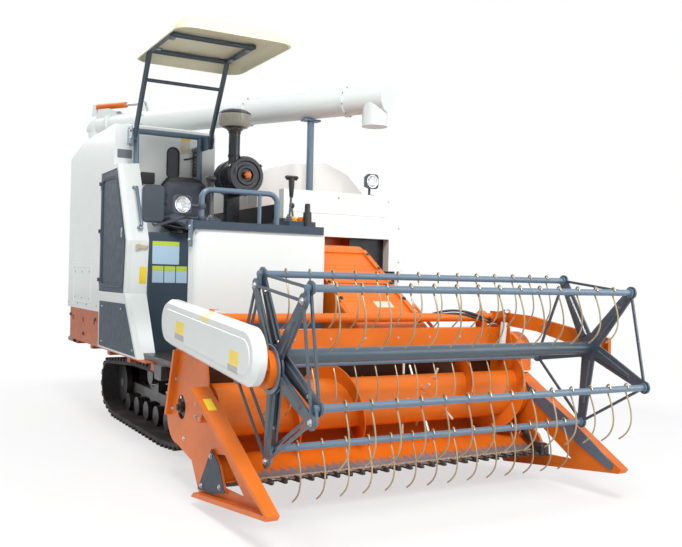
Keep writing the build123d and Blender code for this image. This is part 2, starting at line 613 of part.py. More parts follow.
def operator_seat():
    """Moulded bucket seat: a dished cushion with raised sides, and a curved back that narrows upwards."""
    y0, y1 = SEAT_Y - SEAT_WIDTH / 2, SEAT_Y + SEAT_WIDTH / 2
    side = [(-520, ENGINE_TOP), (-520, ENGINE_TOP + 95), (-480, ENGINE_TOP + 85), (-300, ENGINE_TOP + 75),
            (-150, ENGINE_TOP + 100), (-115, ENGINE_TOP + 70), (-130, ENGINE_TOP)]
    cushion = side_prism(side, y0, y1)
    for y in (y0, y1 - 60):
        bolster = side_prism([(-515, ENGINE_TOP + 40), (-515, ENGINE_TOP + 190), (-400, ENGINE_TOP + 140),
                              (-200, ENGINE_TOP + 120), (-150, ENGINE_TOP + 60)], y, y + 60)
        cushion += chamfer(bolster.edges().filter_by(Axis.Y).sort_by(Axis.Z)[-3:], 18)
    # height, X of the back's middle, width, thickness
    rows = [(ENGINE_TOP + 40, -478, SEAT_WIDTH, 70), (ENGINE_TOP + 160, -482, SEAT_WIDTH, 80),
            (ENGINE_TOP + 300, -490, SEAT_WIDTH - 15, 70), (SEAT_BACK_TOP - 45, -502, SEAT_WIDTH - 60, 52),
            (SEAT_BACK_TOP, -508, SEAT_WIDTH - 170, 24)]
    back = loft([Plane.XY.offset(z) * Pos(x, SEAT_Y) * RectangleRounded(deep, wide, deep * 0.45)
                 for z, x, wide, deep in rows])
    return cushion + back


def seat_frame():
    """Tube frame standing behind the seat, which carries the canopy."""
    right, left = SEAT_POSTS
    x, top, r = SEAT_FRAME_X, SEAT_FRAME_TOP, SEAT_POST_R
    cross = rod((x, right - 60, top), (x, left + 60, top), r)
    posts = [rod((x, right, POD_TOP - 260), (x, right, top), r) - pod_body(),
             rod((x, left, ENGINE_TOP), (x, left, top), r)]
    stubs = [rod((TANK_FRONT, y, top - 80), (x, y, top - 80), 15) for y in SEAT_POSTS]
    ears = [block(x - r, CANOPY_FOOT_X + 24, y - 22, y - 12, CANOPY_FOOT_Z - 30, top)
            for y in (CANOPY_RIGHT, CANOPY_LEFT)]
    pins = [disc_y(CANOPY_FOOT_X, CANOPY_FOOT_Z, 10, y - 22, y + 14) for y in (CANOPY_RIGHT, CANOPY_LEFT)]
    return cross + posts + stubs + ears + pins


def guard_rail():
    """Grey tube rail standing on the cowl."""
    base = COWL_TOP + CAP_HEIGHT
    rail = bent_tube([(RAIL_X, RAIL_RIGHT, base), (RAIL_X, RAIL_RIGHT, RAIL_TOP), (RAIL_X, RAIL_LEFT, RAIL_TOP),
                      (RAIL_X, RAIL_LEFT, base)], 60, RAIL_R)
    return rail + rod((RAIL_X, RAIL_LEFT - 120, base), (RAIL_X, RAIL_LEFT - 120, RAIL_TOP), 12)


def mirror_unit():
    """Rear-view mirror with its raised rim, on its bent arm."""
    y = RAIL_RIGHT - RAIL_R - SEAT_GAP
    low = LAMP_Z - LAMP_HALF - 16
    arm = bent_tube([(RAIL_X, y, low), (RAIL_X, y - 90, low), (MIRROR_X, MIRROR_Y, low - 40),
                     (MIRROR_X, MIRROR_Y, low + 80)], 25, 8)
    face = block(MIRROR_X - 18, MIRROR_X + 12, MIRROR_Y - 70, MIRROR_Y + 70, 1548, 1785)
    face = fillet(face.edges().filter_by(Axis.X), 30)
    return chamfer(face.faces().sort_by(Axis.X)[-1].edges(), 8) + arm


def lamp_head(x, y, z):
    """Lamp housing with rounded corners, tapering to the rear, with its lens ring in front."""
    rows = [(x - 70, 0.45), (x - 35, 0.85), (x, 1), (x + 22, 1)]
    shell = loft([front_plane(at) * Pos(y, z) * RectangleRounded(2 * LAMP_HALF * k, 2 * LAMP_HALF * k, 26 * k)
                  for at, k in rows], ruled=True)
    ring = extrude(front_plane(x + 22) * Pos(y, z) * (Circle(LAMP_HALF - 6) - Circle(LAMP_HALF - 12)), 6, dir=(1, 0, 0))
    lens = extrude(front_plane(x + 22) * Pos(y, z) * Circle(LAMP_HALF - 12), 3, dir=(1, 0, 0))
    return shell + [ring, lens]


def work_lamps():
    """Two work lamps on their stalks."""
    y = RAIL_RIGHT - RAIL_R - SEAT_GAP
    low = rod((RAIL_X, y, LAMP_Z), (RAIL_X, y - 80, LAMP_Z), 8) + lamp_head(RAIL_X + 20, y - 60 - LAMP_HALF, LAMP_Z)
    x = FRONT_BOX_X - 60
    stalk = rod((x, 700, FRONT_BOX_TOP), (x, 700, FRONT_BOX_TOP + 60), 9)
    return Compound(children=[low, stalk + lamp_head(x + 20, 700, FRONT_BOX_TOP + 50 + LAMP_HALF)])


def air_cleaner():
    """Air cleaner drum with its ribbed end cap, its intake pipe and the bowl of its pre-cleaner."""
    y, z, r = CLEANER_Y, CLEANER_Z, CLEANER_R
    # radius and distance along the drum, from its rear end
    profile = [(0, 0), (r - 12, 0), (r, 14), (r, 120), (r + 5, 124), (r + 5, 146), (r, 150), (r, 300), (r + 6, 304),
               (r + 6, 326), (r - 8, 350), (r - 30, 350), (r - 36, 338), (r - 60, 338), (r - 66, 350), (52, 350),
               (46, 336), (24, 336), (24, 356), (0, 356)]
    rear = -540
    plane = Plane(origin=(rear, y, z), x_dir=(0, 1, 0), z_dir=(0, 0, 1))
    drum = revolve(plane * Polygon(*[(a, -b) for a, b in profile], align=None), Axis((rear, y, z), (1, 0, 0)))
    foot = block(-500, -420, y - 60, y + 40, ENGINE_TOP, z)
    shelf = block(TANK_FRONT, -400, -300, y + 60, ENGINE_TOP - 30, ENGINE_TOP)
    pipe_x, pipe_y = -240, y - 85
    pipe = rod((pipe_x, pipe_y, z), (pipe_x, pipe_y, 2320), 42)
    # radius and height of the bowl
    bowl = [(0, 2300), (50, 2300), (62, 2318), (BOWL_R - 14, 2330), (BOWL_R, 2350), (BOWL_R, 2410), (BOWL_R + 6, 2414),
            (BOWL_R + 6, 2432), (BOWL_R - 20, 2450), (40, 2458), (0, 2458)]
    turned = revolve(Plane(origin=(pipe_x, pipe_y, 0), x_dir=(1, 0, 0), z_dir=(0, -1, 0)) * Polygon(*bowl, align=None),
                     Axis((pipe_x, pipe_y, 0), (0, 0, 1)))
    return drum + [foot, shelf, pipe, turned]


# ----------------------------------------------------------------- canopy

def canopy_posts():
    """Two leaning posts with a cross tube, and the frame under the roof."""
    z = CANOPY_TOP_Z
    front = CANOPY_TOP_X + 460
    pieces = []
    for y in (CANOPY_RIGHT, CANOPY_LEFT):
        boss = disc_y(CANOPY_FOOT_X, CANOPY_FOOT_Z, 24, y - 11, y + 14)
        post = rod((CANOPY_FOOT_X, y, CANOPY_FOOT_Z), (CANOPY_TOP_X, y, z), CANOPY_TUBE)
        post -= block(CANOPY_FOOT_X - 60, CANOPY_FOOT_X + 60, y - 60, y - 11, CANOPY_FOOT_Z - 60, CANOPY_FOOT_Z + 90)
        rail = rod((CANOPY_TOP_X, y, z), (front + CANOPY_TUBE, y, z), CANOPY_TUBE)
        pieces += [boss, post, rail]
    share = (CROSS_Z - CANOPY_FOOT_Z) / (z - CANOPY_FOOT_Z)
    cross_x = CANOPY_FOOT_X + share * (CANOPY_TOP_X - CANOPY_FOOT_X)
    cross = rod((cross_x, CANOPY_RIGHT, CROSS_Z), (cross_x, CANOPY_LEFT, CROSS_Z), 13)
    bars = [rod((x, CANOPY_RIGHT, z), (x, CANOPY_LEFT, z), CANOPY_TUBE - 2) for x in (CANOPY_TOP_X, front)]
    frame = cross + pieces + bars
    return frame - [disc_y(CANOPY_FOOT_X, CANOPY_FOOT_Z, 10 + SEAT_GAP, y - 30, y + 30)
                    for y in (CANOPY_RIGHT, CANOPY_LEFT)]


def canopy_roof():
    """Moulded roof with a drooped rim, hollow underneath, lying on its tube frame."""
    x0, x1, y0, y1 = ROOF_REAR, ROOF_FRONT, ROOF_RIGHT, ROOF_LEFT
    centre = Pos((x0 + x1) / 2, (y0 + y1) / 2)
    inside = CANOPY_TOP_Z + CANOPY_TUBE + SEAT_GAP
    skin = ROOF_SKIN
    # height, how far the outline lies inside the rim, for the outer and the inner side
    outside = [(inside - 84, 0), (inside - 50, 4), (inside - 26, 16), (inside - 8, 34), (inside + 4, 62),
               (inside + skin, 115)]
    hollow = [(inside - 85, 12), (inside - 50, 16), (inside - 26, 28), (inside - 8, 46), (inside, 66)]

    def moulded(levels, corner):
        return loft([Plane.XY.offset(z) * centre * RectangleRounded(x1 - x0 - 2 * inset, y1 - y0 - 2 * inset, corner)
                     for z, inset in levels], ruled=True)

    outer, inner = moulded(outside, 110), moulded(hollow, 96)
    return outer - inner


# --------------------------------------------------------------- thresher
def thresher_body():
    """Main body of the thresher with the pocket where the feeder house enters."""
    body = block(THRESHER_REAR, THRESHER_FRONT, THRESHER_RIGHT, THRESHER_LEFT, DECK_Z, THRESHER_TOP)
    pocket = block(LIFT_X - FEEDER_R - 40, THRESHER_FRONT, FEEDER_RIGHT - 15, FEEDER_LEFT + 15,
                   LIFT_Z - FEEDER_R - 60, THRESHER_TOP - 140)
    return (body - pocket) + [feeder_bracket(FEEDER_RIGHT - TRUNNION_LENGTH + 2), feeder_bracket(FEEDER_LEFT + RUN_GAP)]


def feeder_bracket(y):
    """Bored bracket on the thresher's front that carries one trunnion of the feeder house."""
    thick = TRUNNION_LENGTH - RUN_GAP - 2
    plate = side_prism([(THRESHER_FRONT, LIFT_Z + 110), (THRESHER_FRONT, LIFT_Z - 110),
                        (LIFT_X, LIFT_Z - TRUNNION_R - 20), (LIFT_X, LIFT_Z + TRUNNION_R + 20)], y, y + thick)
    plate += disc_y(LIFT_X, LIFT_Z, TRUNNION_R + 20, y, y + thick)
    return plate - disc_y(LIFT_X, LIFT_Z, TRUNNION_R + SEAT_GAP, y - 1, y + thick + 1)


def thresher_front_cover():
    """Portal-shaped cover over the feeder's entry."""
    top, low = FRONT_BOX_TOP, 1285
    y0, y1 = THRESHER_RIGHT - 20, THRESHER_LEFT + 30
    outline = [(y0, 1530), (y1 - 140, 1530), (y1 - 140, low), (y1, low), (y1, top - 160), (y1 - 90, top), (y0, top)]
    return front_prism(outline, THRESHER_FRONT, FRONT_BOX_X)


def drum_cover():
    """Arched cover over the threshing drum."""
    y0, y1 = THRESHER_RIGHT + 60, THRESHER_LEFT + 30
    section = [(y0, THRESHER_TOP), (y1, THRESHER_TOP), (y1, 1950), (y1 - 150, 2090), (y1 - 350, DRUM_COVER_TOP),
               (y0 + 250, 2130), (y0, 2040)]
    return front_prism(section, -1900, DRUM_COVER_FRONT)


def straw_hood():
    """Outlet hood at the rear of the thresher."""
    outline = [(THRESHER_REAR, 900), (THRESHER_REAR, THRESHER_TOP), (THRESHER_REAR - 180, THRESHER_TOP - 60),
               (THRESHER_REAR - 290, 1150), (THRESHER_REAR - 290, 900)]
    hood = side_prism(outline, 60, THRESHER_LEFT - 40)
    inner = side_prism([(THRESHER_REAR, 900), (THRESHER_REAR, THRESHER_TOP - 40),
                        (THRESHER_REAR - 160, THRESHER_TOP - 100), (THRESHER_REAR - 270, 1150),
                        (THRESHER_REAR - 270, 900)], 60 + SHEET, THRESHER_LEFT - 40 - SHEET)
    return hood - inner


def left_covers():
    """Sheet covers over the belts on the left side."""
    pieces = []
    y0 = THRESHER_LEFT
    # x0, x1, z0, z1
    for x0, x1, z0, z1 in [(-1150, 40, 700, 1270), (-2200, -1170, 700, 1270), (-2200, -100, 1290, 1740)]:
        plate = block(x0, x1, y0, y0 + 60, z0, z1)
        pieces.append(chamfer(plate.faces().sort_by(Axis.Y)[-1].edges(), 25))
    return Compound(children=pieces)


def rear_guard():
    """Bent tube guard behind the tank."""
    y0, y1, z = -990, -400, RAIL_BOTTOM + 42
    x = UNLOADER_X - UNLOADER_R + 7
    return bent_tube([(CHASSIS_REAR, y0, z), (x, y0, z), (x, y1, z), (CHASSIS_REAR, y1, z)], 80, 24)


def auger_post():
    """Post that carries the parked unloading tube, with its foot plate and saddle pad."""
    distance = (POST_X - UNLOADER_X) / cos(radians(UNLOADER_BEARING))
    x, y, _ = along_tube(distance, 0)
    top = UNLOADER_Z - UNLOADER_R - RUN_GAP
    post = rod((x, y, THRESHER_TOP), (x, y, top), 28)
    foot = block(x - 60, x + 60, y - 60, y + 60, THRESHER_TOP, THRESHER_TOP + 12)
    return post + [foot, block(x - 40, x + 40, y - 70, y + 70, top - 14, top)]


# ----------------------------------------------------------------- header
def feeder_house():
    """Sloping duct from the header to the thresher, round at its upper end, with the cylinder's ears."""
    top_front, low_front = (HEADER_BACK, WALL_TOP), (HEADER_BACK, FEEDER_LOW)

    def touch(point, sign):
        dx, dz = point[0] - LIFT_X, point[1] - LIFT_Z
        angle = atan2(dz, dx) + sign * acos(FEEDER_R / hypot(dx, dz))
        return (LIFT_X + FEEDER_R * cos(angle), LIFT_Z + FEEDER_R * sin(angle))

    upper, lower = touch(top_front, 1), touch(low_front, -1)
    edges = [Line(top_front, upper), ThreePointArc(upper, (LIFT_X - FEEDER_R, LIFT_Z), lower),
             Line(lower, low_front), Line(low_front, top_front)]
    duct = extrude(side_plane(FEEDER_LEFT) * make_face(Wire(edges)), FEEDER_LEFT - FEEDER_RIGHT, dir=(0, -1, 0))
    eye_x, eye_z = LIFT_X + LIFT_CYL_EYE[0], LIFT_Z + LIFT_CYL_EYE[1]
    ears = []
    for y in (LIFT_CYL_Y - EYE_HALF - 15, LIFT_CYL_Y + EYE_HALF + 3):
        ears.append(side_prism([(eye_x - 60, eye_z + 160), (eye_x - 16, eye_z - 18), (eye_x + 16, eye_z - 18),
                                (eye_x + 60, eye_z + 100)], y, y + 12))
    pin = disc_y(eye_x, eye_z, CYL_PIN_R, LIFT_CYL_Y - EYE_HALF - 15, LIFT_CYL_Y + EYE_HALF + 15)
    slope = hypot(upper[0] - top_front[0], upper[1] - top_front[1])
    along = ((upper[0] - top_front[0]) / slope, (upper[1] - top_front[1]) / slope)

    def over(run, height):
        return (top_front[0] + along[0] * run + along[1] * height, top_front[1] + along[1] * run - along[0] * height)

    lids = []
    for y in (FEEDER_RIGHT, FEEDER_LEFT - 36):
        lids.append(side_prism([over(60, -2), over(60, 14), over(slope - 20, 14), over(slope - 20, -2)], y, y + 36))
    for run in (0.1, 0.52, 0.94):
        lids.append(side_prism([over(run * slope, -2), over(run * slope, 10), over(run * slope + 40, 10),
                                over(run * slope + 40, -2)], FEEDER_RIGHT + 20, FEEDER_LEFT - 20))
    trunnions = [disc_y(LIFT_X, LIFT_Z, TRUNNION_R, FEEDER_RIGHT - TRUNNION_LENGTH, FEEDER_RIGHT),
                 disc_y(LIFT_X, LIFT_Z, TRUNNION_R, FEEDER_LEFT, FEEDER_LEFT + TRUNNION_LENGTH)]
    return duct + lids + ears + trunnions + [pin]


def header_pan():
    """Back wall, auger trough and floor in one bent sheet, with the top beam and pivot lugs."""
    reach = AUGER_FLIGHT_R + FLIGHT_GAP
    lip = (KNIFE_X, KNIFE_Z - 6)
    bend = (KNIFE_X - LIP_LENGTH, KNIFE_Z - 6)

    def sweep_line(radius):
        points = [(AUGER_X + radius * cos(a), AUGER_Z + radius * sin(a)) for a in (pi, 1.25 * pi, 1.5 * pi)]
        return points

    start, mid, end = sweep_line(reach)
    o_start, o_mid, o_end = sweep_line(reach + SHEET)
    edges = [Line((start[0], WALL_TOP), start), ThreePointArc(start, mid, end), Line(end, (bend[0], bend[1] + SHEET)),
             Line((bend[0], bend[1] + SHEET), (lip[0], lip[1] + SHEET)), Line((lip[0], lip[1] + SHEET), lip),
             Line(lip, bend), Line(bend, o_end), ThreePointArc(o_end, o_mid, o_start),
             Line(o_start, (o_start[0], WALL_TOP)), Line((o_start[0], WALL_TOP), (start[0], WALL_TOP))]
    sheet = extrude(side_plane(HEADER_HALF) * make_face(Wire(edges)), 2 * HEADER_HALF, dir=(0, -1, 0))
    wall_x = start[0]
    beam = block(wall_x, wall_x + BEAM_DEPTH, -HEADER_HALF, HEADER_HALF, WALL_TOP - 110, WALL_TOP)
    lugs = []
    for side in (1, -1):
        y = side * LUG_Y
        lug = block(ARM_PIVOT_X - 45, ARM_PIVOT_X + 45, y - 15, y + 15, WALL_TOP, ARM_PIVOT_Z)
        lugs.append(lug + disc_y(ARM_PIVOT_X, ARM_PIVOT_Z, 45, y - 15, y + 15))
    bores = [disc_y(ARM_PIVOT_X, ARM_PIVOT_Z, ARM_TUBE_R + SEAT_GAP, side * LUG_Y - 20, side * LUG_Y + 20)
             for side in (1, -1)]
    return (sheet + beam + lugs) - bores


def side_edge():
    """Edges of a header side's outline, its lower rear corner rounded."""
    corners = [(HEADER_BACK, WALL_TOP + 20), (HEADER_BACK + 190, WALL_TOP + 20), (1390, 640), (DIVIDER_X, 190),
               (DIVIDER_X - 20, 165), (1290, 45), (1150, 205), (SIDE_REAR + 190, 250)]
    foot = (SIDE_REAR, 400)
    edges = [Line(a, b) for a, b in zip(corners, corners[1:])]
    bow = ((corners[-1][0] + foot[0]) / 2 - 40, (corners[-1][1] + foot[1]) / 2 - 30)
    return edges + [ThreePointArc(corners[-1], bow, foot), Line(foot, (SIDE_REAR + 150, WALL_TOP - 120)),
                    Line((SIDE_REAR + 150, WALL_TOP - 120), corners[0])]


def header_side(side):
    """Side plate of the header with its open divider frame, deflector, bracket, skid and auger bearing."""
    inner, outer, rim = HEADER_HALF, HEADER_HALF + SHEET, HEADER_HALF + SHEET + DIVIDER_DEPTH
    plate = extrude(side_plane(outer) * make_face(Wire(side_edge())), SHEET, dir=(0, -1, 0))
    plate -= side_prism([(1330, 150), (1470, 300), (1640, 330), (1900, 180)], inner, outer)
    plate -= disc_y(SIDE_REAR + 260, 470, 70, inner, outer)
    skid = side_prism([(1290, 45), (DIVIDER_X - 20, 165), (DIVIDER_X, 190), (1330, 75)], outer, rim)
    rail = side_prism([(1390, 640), (DIVIDER_X, 190), (DIVIDER_X - 13, 175), (1370, 610)], outer, WIDTH_HALF)
    rail -= extrude(Polygon((1350, WIDTH_HALF + 1), (DIVIDER_X + 10, rim), (DIVIDER_X + 10, WIDTH_HALF + 1),
                            align=None), 800)
    bracket = side_prism([(1300, 85), (1490, 331), (1600, 275), (1690, 150), (1500, 105)], outer, outer + 12)
    hoop = side_prism([(SIDE_REAR + 175, WALL_TOP - 130), (SIDE_REAR + 40, 400), (SIDE_REAR + 70, 400),
                       (SIDE_REAR + 205, WALL_TOP - 130)], outer, outer + 30)
    bearing_boss = disc_y(AUGER_X, AUGER_Z, 60, outer, rim)
    pivot = disc_y(REEL_CYL_X, REEL_CYL_Z, CYL_PIN_R, REEL_CYL_Y - EYE_HALF - 2, inner)
    solid = plate + [skid, rail, bracket, hoop, bearing_boss, pivot]
    solid -= disc_y(AUGER_X, AUGER_Z, SHAFT_R + SEAT_GAP, inner, rim)
    return solid if side > 0 else mirror_y(solid)


def drive_cover():
    """Arched cover over the header's drive on its left side."""
    x0, x1, z0, z1 = HEADER_BACK + 15, HEADER_BACK + 290, 650, 895
    arch = [Line((x0, z1 - 90), (x0, z0)), Line((x0, z0), (x1, z0)), Line((x1, z0), (x1, z1 - 90)),
            ThreePointArc((x1, z1 - 90), ((x0 + x1) / 2, z1), (x0, z1 - 90))]
    return extrude(side_plane(WIDTH_HALF) * make_face(Wire(arch)), WIDTH_HALF - HEADER_HALF - SHEET, dir=(0, -1, 0))


def cutter_guards():
    """Finger bar of the knife, seated on the lip of the floor."""
    count = int(2 * (HEADER_HALF - 110) / GUARD_PITCH)
    bar = block(KNIFE_X - LIP_LENGTH, KNIFE_X + 60, -HEADER_HALF, HEADER_HALF, KNIFE_Z - 20, KNIFE_Z - 6)
    x0, x1 = KNIFE_X + 40, KNIFE_X + GUARD_LENGTH
    side = [(x0, KNIFE_Z - 20), (x1, KNIFE_Z - 10), (x1, KNIFE_Z - 6), (x0, KNIFE_Z - 6)]
    fingers = []
    for index in range(count + 1):
        y = (index - count / 2) * GUARD_PITCH
        fingers.append(side_prism(side, y - 9, y + 9))
    return bar + fingers


def knife():
    """Reciprocating knife: back bar with its row of triangular sections."""
    half = HEADER_HALF - KNIFE_STROKE - 20
    count = int(2 * (half - 40) / GUARD_PITCH)
    face = Pos(KNIFE_X + 17, 0) * Rectangle(24, 2 * half - 20)
    for index in range(count + 1):
        y = (index - count / 2) * GUARD_PITCH
        face += Polygon((KNIFE_X + 20, y - 36), (KNIFE_X + 75, y - 6), (KNIFE_X + 75, y + 6), (KNIFE_X + 20, y + 36),
                        align=None)
    return extrude(Plane.XY.offset(KNIFE_Z - 6 + SEAT_GAP) * face, 6)


def auger_flight(y0, y1, left_handed):
    """Helical flight from y0 to y1: a flat blade swept along a helix round the auger."""
    low, high = AUGER_TUBE_R - 4, AUGER_FLIGHT_R
    helix = Helix(FLIGHT_PITCH, y1 - y0, (low + high) / 2, lefthand=left_handed)
    start = helix @ 0
    section = Plane(origin=start, x_dir=(start.X, start.Y, 0), z_dir=helix % 0) * Rectangle(high - low, FLIGHT_THICK)
    blade = sweep(section, path=helix, is_frenet=True)
    return Pos(AUGER_X, y0, AUGER_Z) * Rot(-90, 0, 0) * blade


def header_auger():
    """Auger tube with two opposed flights and the finger rods before the feeder, on a shaft in both side bearings."""
    half = HEADER_HALF - 8
    end = HEADER_HALF + SHEET + DIVIDER_DEPTH
    tube = rod((AUGER_X, -half, AUGER_Z), (AUGER_X, half, AUGER_Z), AUGER_TUBE_R)
    tube += rod((AUGER_X, -end, AUGER_Z), (AUGER_X, end, AUGER_Z), SHAFT_R)
    right, left = FLIGHT_MEET
    tube += auger_flight(-half + 10, right, False)
    tube += auger_flight(left, half - 10, True)
    for row in range(4):
        for step in range(3):
            angle = radians(90 * row + 30 * step)
            y = right + (left - right) * (step + 1 + 0.5 * (row % 2)) / 4.5
            start = (AUGER_X + 120 * cos(angle), y, AUGER_Z + 120 * sin(angle))
            tip = (AUGER_X + FINGER_REACH * cos(angle), y, AUGER_Z + FINGER_REACH * sin(angle))
            tube += rod(start, tip, FINGER_R)
    return tube


# ------------------------------------------------------------------- reel
def bar_angle(index):
    """Angle of a tine bar round the reel, radians."""
    return radians(REEL_PHASE - index * 360 / BAR_COUNT)


def bar_centre(index):
    """X, Z of a tine bar."""
    return (REEL_X + REEL_R * cos(bar_angle(index)), REEL_Z + REEL_R * sin(bar_angle(index)))


def star_face(hub, arm_root, arm_tip):
    """Five-armed star with an eye at every arm's tip and strips from tip to tip."""
    face = Circle(hub)
    tips = [(REEL_R * cos(bar_angle(index)), REEL_R * sin(bar_angle(index))) for index in range(BAR_COUNT)]
    for index in range(BAR_COUNT):
        arm = Polygon((0, -arm_root), (REEL_R, -arm_tip), (REEL_R, arm_tip), (0, arm_root), align=None)
        face += [Rot(0, 0, degrees(bar_angle(index))) * arm, Pos(*tips[index]) * Circle(STAR_EYE)]
        (x0, z0), (x1, z1) = tips[index - 1], tips[index]
        turn = degrees(atan2(z1 - z0, x1 - x0))
        face += Pos((x0 + x1) / 2, (z0 + z1) / 2) * Rot(0, 0, turn) * Rectangle(hypot(x1 - x0, z1 - z0), STRIP_WIDTH)
    return face


def star_ribs(y, centre_z, start):
    """Pressed ribs along a star's arms from radius `start`, standing out of its face at y towards -Y."""
    place = side_plane(y) * Pos(REEL_X, centre_z)
    ribs = []
    for index in range(BAR_COUNT):
        rib = Polygon((start, -24), (RIB_TO, -13), (RIB_TO, 13), (start, 24), align=None)
        ribs.append(extrude(place * Rot(0, 0, degrees(bar_angle(index))) * rib, STAR_RIB, dir=(0, -1, 0), taper=35))
    return ribs


def tip_holes(radius):
    """Holes at the star's tips."""
    return [Pos(REEL_R * cos(bar_angle(index)), REEL_R * sin(bar_angle(index))) * Circle(radius)
            for index in range(BAR_COUNT)]


def reel():
    """Central tube with a pressed star at each end, bored for the journals of the arms."""
    tube = rod((REEL_X, -STAR_Y, REEL_Z), (REEL_X, STAR_Y, REEL_Z), REEL_TUBE_R)
    face = star_face(84, 50, 27) - tip_holes(BAR_R + SEAT_GAP)
    for side in (1, -1):
        y_high = side * STAR_Y + STAR_THICK / 2
        tube += extrude(side_plane(y_high) * Pos(REEL_X, REEL_Z) * face, STAR_THICK, dir=(0, -1, 0))
        tube += star_ribs(y_high - STAR_THICK + 1, REEL_Z, 70)
        deep, mouth = STAR_Y - JOURNAL_DEPTH, STAR_Y + STAR_THICK
        tube -= disc_y(REEL_X, REEL_Z, JOURNAL_R + SEAT_GAP, min(side * deep, side * mouth),
                       max(side * deep, side * mouth))
    return tube


def eccentric_star():
    """Outer star on the right, its centre below the reel's, which keeps the tines hanging."""
    face = star_face(CAM_R + 26, 44, 25) - tip_holes(CRANK_PIN_R + SEAT_GAP) - [Circle(CAM_R + SEAT_GAP)]
    place = Pos(REEL_X, REEL_Z - ECCENTRIC_DROP)
    star = extrude(side_plane(ECCENTRIC_Y + STAR_THICK / 2) * place * face, STAR_THICK, dir=(0, -1, 0))
    return star + star_ribs(ECCENTRIC_Y - STAR_THICK / 2 + 1, REEL_Z - ECCENTRIC_DROP, CAM_R + 12)


def tine_outline():
    """X, Z points of one tine's centre line below its bar: a bow forward, then back at the tip."""
    length = TINE_LENGTH
    shape = [(0, 0), (0.05, -0.12), (0.09, -0.25), (0.12, -0.38), (0.13, -0.5), (0.12, -0.62), (0.07, -0.76),
             (-0.03, -0.89), (-0.18, -1)]
    return [(x * length, z * length) for x, z in shape]


def tine_bar(index):
    """One bar across the reel with its hanging tines, and the crank to the eccentric star."""
    x, z = bar_centre(index)
    half = STAR_Y + STAR_THICK / 2
    crank_y0, crank_y1 = ECCENTRIC_Y + STAR_THICK / 2 + 3, -half - 3
    bar = rod((x, crank_y0, z), (x, half, z), BAR_R)
    crank = block(x - 14, x + 14, crank_y0, crank_y1, z - ECCENTRIC_DROP - 14, z + BAR_R)
    pin = disc_y(x, z - ECCENTRIC_DROP, CRANK_PIN_R, ECCENTRIC_Y - STAR_THICK / 2, crank_y1)
    points = tine_outline()
    w = TINE_WIRE / 2
    left = [(x + px - w, z + pz) for px, pz in points]
    right = [(x + px + w, z + pz) for px, pz in reversed(points)]
    tines = []
    for count in range(TINES_PER_BAR):
        y = (count - (TINES_PER_BAR - 1) / 2) * TINE_PITCH
        tines.append(side_prism(left + right, y - w, y + w))
    return bar + [crank, pin] + tines


def arm_outline():
    """X, Z outline of a reel arm."""
    return [(ARM_PIVOT_X - 60, ARM_PIVOT_Z - 40), (ARM_PIVOT_X - 60, ARM_PIVOT_Z + 40), (1500, 1010),
            (REEL_X + 60, REEL_Z + 55), (REEL_X + 60, REEL_Z - 55), (1560, 915)]


def reel_arms():
    """Two arms from the header's rear top to the reel's hubs, with journals, cam and cross tube."""
    inner, outer = ARM_Y - ARM_THICK / 2, ARM_Y + ARM_THICK / 2
    arm = side_prism(arm_outline(), inner, outer)
    journal = disc_y(REEL_X, REEL_Z, JOURNAL_R, STAR_Y - JOURNAL_DEPTH + 6, inner)
    eye_x, eye_z = ARM_PIVOT_X + REEL_CYL_EYE[0], ARM_PIVOT_Z + REEL_CYL_EYE[1]
    crank_y = REEL_CYL_Y + EYE_HALF + 3
    crank = side_prism([(ARM_PIVOT_X, ARM_PIVOT_Z + 24), (ARM_PIVOT_X, ARM_PIVOT_Z - 24),
                        (eye_x, eye_z - 20), (eye_x, eye_z + 20)], crank_y, crank_y + 12)
    crank += [disc_y(eye_x, eye_z, 20, crank_y, crank_y + 12),
              disc_y(eye_x, eye_z, CYL_PIN_R, REEL_CYL_Y - EYE_HALF - 2, crank_y)]
    cross = disc_y(ARM_PIVOT_X, ARM_PIVOT_Z, ARM_TUBE_R, -ARM_Y, ARM_Y)
    cam = disc_y(REEL_X, REEL_Z - ECCENTRIC_DROP, CAM_R, -inner, ECCENTRIC_Y - STAR_THICK / 2)
    one_side = [arm, journal, crank]
    return cross + one_side + [mirror_y(piece) for piece in one_side] + [cam]


def chain_cover():
    """Rounded white cover over the reel's chain drive."""
    y0, y1 = -WIDTH_HALF, -ARM_Y - ARM_THICK / 2
    start, end = (960, 955), (2060, 860)
    r0, r1 = 128, 136
    bevel, border, step = 26, 52, 4

    def outline(inset):
        return make_face(Wire(loop_edges([(start[0], start[1], r0 - inset), (end[0], end[1], r1 - inset)])))

    body = extrude(side_plane(y1) * outline(0), y1 - y0 - step, dir=(0, -1, 0))
    body = chamfer(body.faces().sort_by(Axis.Y)[0].edges(), bevel, bevel * 0.8)
    return body + extrude(side_plane(y0 + step + 1) * outline(border), step + 1, dir=(0, -1, 0), taper=30)


# --------------------------------------------------------------- unloader
def along_tube(distance, z, aside=0):
    """Point above the parked tube's line: distance from the riser, height, and sideways to its left."""
    a = radians(UNLOADER_BEARING)
    return (UNLOADER_X + distance * cos(a) - aside * sin(a), UNLOADER_Y + distance * sin(a) + aside * cos(a), z)


def cross_pin(distance, z, radius, aside0, aside1):
    """Round pin across the parked tube."""
    return rod(along_tube(distance, z, aside0), along_tube(distance, z, aside1), radius)


def tube_prism(points, aside0, aside1):
    """Outline of (distance, z) points beside the parked tube, extruded across it."""
    a = radians(UNLOADER_BEARING)
    plane = Plane(origin=along_tube(0, 0, aside0), x_dir=(cos(a), sin(a), 0), z_dir=(sin(a), -cos(a), 0))
    return extrude(plane * Polygon(*points, align=None), aside1 - aside0, dir=(-sin(a), cos(a), 0))


